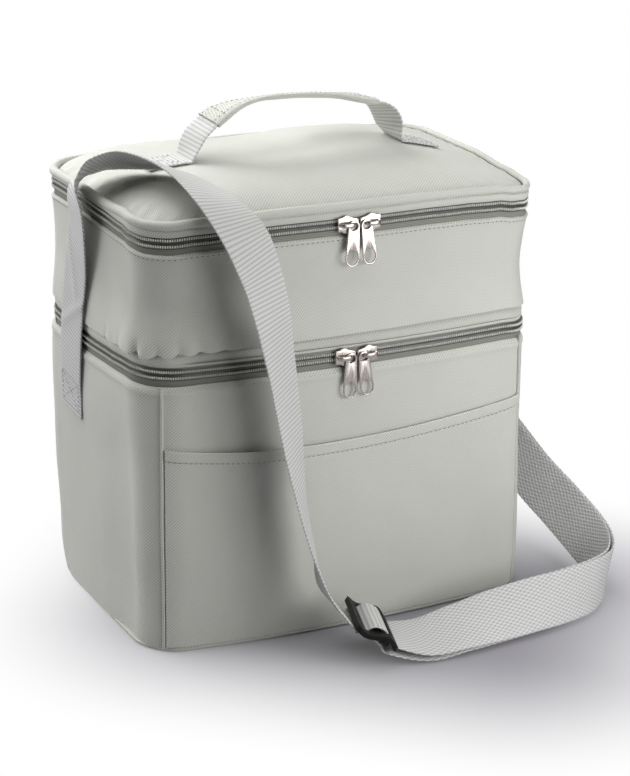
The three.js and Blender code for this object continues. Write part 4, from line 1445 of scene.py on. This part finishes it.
def addSleeve():
    inside = [s for s in handleStations if abs(s["middle"].x) <= handle["sleeveHalf"]]
    stations = inside[::3] + ([inside[-1]] if (len(inside) - 1) % 3 else [])
    count = len(stations) - 1
    sides = 40

    def place(u, share):
        station = stations[round(u * count)]
        width, high = sleeveSize(station)
        angle = 2 * math.pi * share
        c, s = math.cos(angle), math.sin(angle)
        a = math.copysign(abs(c) ** 0.55, c) * width / 2
        b = sleeveTop(station, a) if s >= 0 else -abs(s) ** 0.75 * high / 2
        b += 0.3 * ripple(station["middle"].x, a, b, 16) * abs(s)
        spot = station["middle"] + station["across"] * a + station["normal"] * b
        return spot, (station["at"], width * share * 2)

    sleeve = wrapGrid("handleSleeve", count, evenShares(sides), place)
    mergeSeams(sleeve)
    faceOutwards(sleeve)
    thicken(sleeve, 0.8)
    dress(sleeve, fabricTwill, "outer_fabric", "handle", ["handle_grip"])
    for part in (-0.3, 0.3):
        addStitches("handle", [sleevePoint(s, part * sleeveSize(s)[0]) for s in stations], "webbing")
    for end in (-54, 54):
        station = min(stations, key=lambda s: abs(s["middle"].x - end))
        width = sleeveSize(station)[0]
        addStitches("handle", [sleevePoint(station, width * (i / 14 - 0.5) * 0.86) for i in range(15)])


addSleeve()
addBoxStitches("base", longRunStations, 4, 26, 15, webbing["sewnLift"])
print("handle done")


# Slide adjuster: a moulded plate with two slots and an S bend, on the strap in front of the bag
slide = {"width": 50, "length": 34, "thick": 4.2, "slotHalf": 19.7, "bar": 2.5, "slotEnd": 9.5,
         "bend": 2.3, "lift": 7.6, "dip": 2.6, "corner": 4.5}


def addSlide():
    deselect()
    bpy.ops.mesh.primitive_grid_add(x_subdivisions=100, y_subdivisions=68, size=2)
    piece = bpy.context.object
    piece.name = "slideAdjuster"
    for v in piece.data.vertices:
        v.co.x *= slide["width"] / 2
        v.co.y *= slide["length"] / 2
    pickFaces(piece, lambda c: abs(c.x) < slide["slotHalf"] and slide["bar"] < abs(c.y) < slide["slotEnd"])
    bpy.ops.mesh.delete(type="FACE")
    bpy.ops.object.mode_set(mode="OBJECT")
    # outer corners drawn in to a round
    for v in piece.data.vertices:
        a = abs(v.co.x) - (slide["width"] / 2 - slide["corner"])
        b = abs(v.co.y) - (slide["length"] / 2 - slide["corner"])
        if a > 0 and b > 0:
            shrink = max(a, b) / math.hypot(a, b)
            v.co.x = math.copysign(slide["width"] / 2 - slide["corner"] + a * shrink, v.co.x)
            v.co.y = math.copysign(slide["length"] / 2 - slide["corner"] + b * shrink, v.co.y)
    applyModifier(piece, "SOLIDIFY", thickness=slide["thick"], offset=0)
    applyModifier(piece, "BEVEL", width=0.9, segments=3, limit_method="ANGLE", angle_limit=math.radians(60))
    for v in piece.data.vertices:
        bend = slide["bend"] * math.sin(2 * math.pi * v.co.y / slide["length"])
        bend -= slide["dip"] * between(v.co.y, 5, 17)
        lifted = slideNormal * (slide["lift"] + v.co.z + bend)
        v.co = (slidePlace + slideAcross * v.co.x + slideAlong * v.co.y + lifted) / 1000
    piece.data.update()
    return dress(piece, acetal, "black_plastic", "base", ["slide_adjuster"])


slideAdjuster = addSlide()
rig.cord(longRunPiece, exit=pathOf(longRunStations)[0], length=longRunStations[-1]["at"] / 1000,
        diameter=0.038, far_end="fitting", stiffness="medium", lay="loose", path=pathOf(longRunStations),
        with_pieces=[slideAdjuster])
print("slide adjuster threaded")


# Zip sliders and pull tabs: plates cut from outlines, and an arched crown that holds the tab's eye
slider = {"x": 8.2, "y": -105.4, "plate": 1.6, "half": 7.6, "edge": 0.4, "foot": 3.6, "outerFoot": 6.2,
          "crownOut": 5.0, "crownWide": 3.0, "crownThick": 1.4, "tabOut": 2.65}
tab = {"length": 32, "thick": 1.3, "edge": 0.3, "eye": 2.9, "eyeWall": 1.25, "ring": (4.15, 5.2),
       "ringWall": 1.05, "eyeZ": -1.5, "lean": {-1: 2, 1: -7.5}}


def ellipse(middle, size, count, start=0.0, end=2 * math.pi, closed=True):
    steps = count if closed else count - 1
    angles = [start + (end - start) * i / steps for i in range(count)]
    return [(middle[0] + size[0] * math.cos(a), middle[1] + size[1] * math.sin(a)) for a in angles]


def cutPlate(name, outlines, thickness, edge):
    # a plate with rounded edges that fills the first outline, with the others as holes; it faces the front
    curve = bpy.data.curves.new(name, "CURVE")
    curve.dimensions = "2D"
    curve.fill_mode = "BOTH"
    curve.extrude = thickness / 2 - edge
    curve.bevel_depth = edge
    curve.bevel_resolution = 2
    for outline in outlines:
        spline = curve.splines.new("POLY")
        spline.points.add(len(outline) - 1)
        for point, (x, z) in zip(spline.points, outline):
            point.co = (x, z, 0, 1)
        spline.use_cyclic_u = True
    plate = bpy.data.objects.new(name, curve)
    bpy.context.scene.collection.objects.link(plate)
    activate(plate)
    bpy.ops.object.convert(target="MESH")
    plate.rotation_euler = (math.pi / 2, 0, 0)
    bpy.ops.object.transform_apply(rotation=True)
    mergeSeams(plate)
    return plate


def sliderPlate(name, side):
    e = slider["edge"]
    h = slider["half"]
    upperEdge = [(h, 4.7), (5.2, 4.9), (3.6, 5.6), (2.2, 6.15), (0.8, 6.2), (-0.8, 5.7), (-2.6, 4.7),
                 (-4.8, 4.1), (-6.6, 3.7), (-h, 2.9)]
    rim = [(x, z) for x, z in upperEdge] + [(x, -z) for x, z in reversed(upperEdge)]
    rim = [(side * (x - math.copysign(e, x)), z - math.copysign(e, z)) for x, z in rim]
    window = [(4.1, -1.3), (6.5, -1.3), (6.5, 1.3), (4.1, 1.3)]
    return cutPlate(name, [rim, [(side * x, z) for x, z in window]], slider["plate"], e)


def sliderCrown(name, side):
    # an arched strip from its outer foot over the tab's eye to its inner foot
    low, high = 0.6, slider["crownOut"]
    inner, outer = -slider["foot"], slider["outerFoot"]
    way = [(outer, low), (outer - 0.1, 2.4), (outer - 1.0, high - 0.7), (outer - 2.6, high),
           (1.2, high + 0.25), (inner + 2.2, high), (inner + 0.5, high - 0.8), (inner, 2.6), (inner, low)]
    rows = [(side * x, -out, 0.0, 0.0, 0.0, 1.0) for x, out in way]
    stations = smoothPath(rows, 0.35)
    count = len(stations) - 1

    def place(u, share):
        station = stations[round(u * count)]
        angle = 2 * math.pi * share
        c, s = math.cos(angle), math.sin(angle)
        narrow = 1 - 0.25 * bell(abs(2 * u - 1), 1, 0.3)
        a = math.copysign(abs(c) ** 0.6, c) * slider["crownWide"] / 2 * narrow
        b = math.copysign(abs(s) ** 0.6, s) * slider["crownThick"] / 2
        return station["middle"] + station["across"] * a + station["normal"] * b, (0, 0)

    crown = wrapGrid(name, count, evenShares(16), place)
    closeEnds(crown)
    for v in crown.data.vertices:
        v.co *= 1000
    return crown


def setPlace(piece, turn, middle):
    # mm pieces are turned about the front's axis, moved and brought to metres
    turned = Matrix.Rotation(turn, 3, "Y")
    for v in piece.data.vertices:
        v.co = (turned @ v.co + Vector(middle)) / 1000
    piece.data.update()


def addSlider(zipName, sideName, side, zipZ):
    plate = sliderPlate("plate", side)
    crown = sliderCrown("crown", side)
    plate.data.transform(Matrix.Translation((0, -slider["plate"] / 2, 0)))
    deselect()
    crown.select_set(True)
    plate.select_set(True)
    bpy.context.view_layer.objects.active = plate
    bpy.ops.object.join()
    plate.name = zipName + sideName + "Slider"
    setPlace(plate, 0, (side * slider["x"], slider["y"], zipZ))
    prefix = zipName + "_" + sideName.lower()
    dress(plate, nickel, "nickel", prefix + "_zip_slider", [prefix + "_slider"], 40)
    # the tab
    e = tab["edge"]
    topRadius = tab["eye"] + tab["eyeWall"]
    ringX, ringZ = tab["ring"]
    bottomZ = tab["eyeZ"] + topRadius - tab["length"] + ringZ + tab["ringWall"]
    rim = ellipse((0, tab["eyeZ"]), (topRadius - e, topRadius - e), 20, 0, math.pi, False)
    rim += ellipse((0, bottomZ), (ringX + tab["ringWall"] - e, ringZ + tab["ringWall"] - e), 28, math.pi,
                   2 * math.pi, False)
    eye = ellipse((0, tab["eyeZ"]), (tab["eye"] + e, tab["eye"] + e), 24)
    ring = ellipse((0, bottomZ), (ringX + e, ringZ + e), 32)
    pull = cutPlate(zipName + sideName + "PullTab", [rim, eye, ring], tab["thick"], e)
    setPlace(pull, math.radians(tab["lean"][side]),
             (side * (slider["x"] - slider["foot"]), slider["y"] - slider["tabOut"], zipZ))
    dress(pull, nickel, "nickel", prefix + "_zip_tab", [prefix + "_pull_tab"], 40)


for zipName, zipZ in (("lower", zips["lowerZ"]), ("upper", zips["upperZ"])):
    addSlider(zipName, "Left", -1, zipZ)
    addSlider(zipName, "Right", 1, zipZ)
print("sliders and pull tabs hung")


# Right side: a folded webbing tab holds the ring, and the strap turns round the ring's lower bar
ring = {"top": (155.23, 34, 153), "bottom": (161.2, 34, 133), "bar": 3.8, "half": 23, "corner": 4.5}


def addRing():
    top, bottom = Vector(ring["top"]), Vector(ring["bottom"])
    middle = (top + bottom) / 2
    up = (top - bottom).normalized()
    wide = Vector((0, 1, 0))
    square = wide.cross(up)
    halfUp = (top - bottom).length / 2
    a, b, r = ring["half"] - ring["corner"], halfUp - ring["corner"], ring["corner"]
    loop = []
    for cx, cz, start in ((a, b, 0), (-a, b, 90), (-a, -b, 180), (a, -b, 270)):
        for i in range(7):
            angle = math.radians(start + 15 * i)
            loop.append((cx + r * math.cos(angle), cz + r * math.sin(angle), math.cos(angle),
                         math.sin(angle)))
    count = len(loop)

    def place(u, share):
        c, d, outC, outD = loop[round(u * count) % count]
        angle = 2 * math.pi * share
        out = (wide * outC + up * outD) * (ring["bar"] / 2 * math.cos(angle))
        return middle + wide * c + up * d + out + square * (ring["bar"] / 2 * math.sin(angle)), (0, 0)

    piece = wrapGrid("strapRing", count, evenShares(12), place)
    mergeSeams(piece)
    dress(piece, acetal, "black_plastic", "ring", ["strap_ring"], 80)


def addRingTab():
    x, y, z = ring["top"]
    rows = [(151.2, y, 179.5), (151.3, y, 170), (151.6, y, 160)]
    rows += [(x - 3.5 * math.cos(t), y, z - 3.5 * math.sin(t)) for t in (0.1, 0.8, 1.57, 2.3, 3.0, 3.7)]
    rows += [(154.4, y, 160.5), (153.2, y, 167), (152.9, y, 179.5)]
    stations = smoothPath([(*row, 0.0, -1.0, 0.0) for row in rows], ribStep)
    piece = webbingPiece("ringTab", stations, webbing["strapWidth"])
    dress(piece, webbingRibs, "webbing", "base", ["ring_tab"])
    total = stations[-1]["at"]
    addBoxStitches("base", stations, total - 15, total - 2.5, 15, webbing["sewnLift"])


def addRingFold():
    x, y, z = ring["bottom"]
    outerEnd, innerEnd = outerStations[-1], innerStations[-1]
    rows = [(*outerEnd["middle"], *outerEnd["across"])]
    rows += [(x + 3.4 * math.cos(t), y, z + 3.4 * math.sin(t), 0.0, 1.0, 0.0)
             for t in (-0.2, 0.7, 1.57, 2.4, 3.3)]
    rows += [(*innerEnd["middle"], *innerEnd["across"])]
    stations = smoothPath(rows, ribStep)
    fold = webbingPiece("strapRingFold", stations, webbing["strapWidth"])
    dress(fold, webbingDots, "webbing", "ring")


addRing()
addRingTab()
addRingFold()
print("ring and its tab done")


def sewStitches():
    bead = beadTemplate((stitch["length"] / 2, stitch["radius"], stitch["radius"]))
    slots = {"fabric": "outer_fabric", "webbing": "webbing"}
    for (body, thread), spots in stitchSpots.items():
        piece = copyAlong(body + thread.capitalize() + "Stitches", bead, spots)
        dress(piece, threads[thread], slots[thread], body, (), 80)
    bpy.data.objects.remove(bead)


sewStitches()
print("stitches sewn")


# Floor, light and background: soft boxes above, behind and at the left, and two weak ones in front
studio = {"floor": 8.0, "sky": 0.008, "shade": (0.081, -0.0315), "shadeHalf": (0.101, 0.058),
          "turn": 41.7, "whiteFrom": 0.0, "whiteTo": 0.197}
lamps = {
    "topBox": {"place": (0.1, -0.1, 1.7), "target": (0, 0, 0.2), "size": (1.7, 1.7), "power": 16.2},
    "backBox": {"place": (-0.15, 1.0, 1.05), "target": (-0.05, 0, 0.25), "size": (1.1, 0.6), "power": 15.0},
    "leftBox": {"place": (-0.95, 0.6, 0.75), "target": (-0.15, 0.0, 0.2), "size": (1.0, 1.0), "power": 10.2},
    "frontBox": {"place": (0.22, -1.25, 0.38), "target": (-0.02, -0.1, 0.17), "size": (0.45, 0.5),
                 "power": 3.1},
    "keyBox": {"place": (0.27, -0.52, 0.3), "target": (0.05, -0.1, 0.2), "size": (0.3, 0.3), "power": 1.5},
}


def addFloor():
    deselect()
    bpy.ops.mesh.primitive_plane_add(size=studio["floor"], location=(0, 0, -0.0005))
    floor = bpy.context.object
    floor.name = "studioFloor"
    # mid-grey matt floor with a lavender tint; the grey near the bag is painted shadow that deepens the lamps' own
    # soft shadow
    material, shader = newMaterial("mattePaperFloor", Roughness=0.9)
    tree = material.node_tree
    spots = spotsOf(material)
    tone = noiseOf(material, spots, 3.0)
    paint(material, shader, tone, [(0.0, linear("9e9ca3")), (1.0, linear("a2a0a7"))])

    def change(operation, *inputs, result=0):
        return calculate(material, operation, *inputs, kind="ShaderNodeVectorMath", result=result)

    # far from the bag the floor fades to plain white, for the camera only; the grey kept inside the turned box round
    # the front and right is painted shadow
    middle, half = Vector((*studio["shade"], 0)), Vector((*studio["shadeHalf"], 0))
    turned = mapped(material, spots, "Rotation", (0, 0, math.radians(studio["turn"])))
    beyond = change("SUBTRACT", change("ABSOLUTE", change("SUBTRACT", turned, middle)), half)
    away = change("LENGTH", change("MAXIMUM", beyond, (0, 0, 0)), result="Value")
    fade = addNode(material, "ShaderNodeMapRange",
                   {"From Min": studio["whiteFrom"], "From Max": studio["whiteTo"]}, {"Value": away},
                   interpolation_type="SMOOTHSTEP").outputs["Result"]
    seen = addNode(material, "ShaderNodeLightPath").outputs["Is Camera Ray"]
    share = calculate(material, "MULTIPLY", fade, seen)
    white = addNode(material, "ShaderNodeEmission", {"Color": grey(1), "Strength": 1.0}).outputs["Emission"]
    mix = addNode(material, "ShaderNodeMixShader", {}, {0: share, 1: shader.outputs["BSDF"], 2: white})
    tree.links.new(mix.outputs["Shader"], tree.nodes["Material Output"].inputs["Surface"])
    floor.data.materials.append(material)
    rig.stage(floor)


def addSky():
    world = bpy.data.worlds.new("studioSky")
    bpy.context.scene.world = world
    world.use_nodes = True
    tree = world.node_tree
    background = tree.nodes["Background"]
    background.inputs["Color"].default_value = (1, 1, 1, 1)
    background.inputs["Strength"].default_value = studio["sky"]
    backdrop = addNode(world, "ShaderNodeBackground", {"Color": (1, 1, 1, 1), "Strength": 1.0})
    seen = addNode(world, "ShaderNodeLightPath").outputs["Is Camera Ray"]
    mix = addNode(world, "ShaderNodeMixShader", {}, {0: seen, 1: background.outputs["Background"],
                                                     2: backdrop.outputs["Background"]})
    tree.links.new(mix.outputs["Shader"], tree.nodes["World Output"].inputs["Surface"])


def addLamps():
    for name, lamp in lamps.items():
        data = bpy.data.lights.new(name, "AREA")
        data.shape = "RECTANGLE"
        data.size, data.size_y = lamp["size"]
        data.energy = lamp["power"]
        placed = bpy.data.objects.new(name, data)
        bpy.context.scene.collection.objects.link(placed)
        placed.location = lamp["place"]
        placed.visible_camera = False
        way = Vector(lamp["target"]) - Vector(lamp["place"])
        placed.rotation_euler = way.to_track_quat("-Z", "Y").to_euler()


addFloor()
addSky()
addLamps()
bpy.context.scene.view_settings.view_transform = "Standard"
print("studio set")

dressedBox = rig.bounds()
with open("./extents.json", "w") as sizeFile:
    json.dump({"cad": [list(c) for c in cadBox], "dressed": [list(c) for c in dressedBox]}, sizeFile)
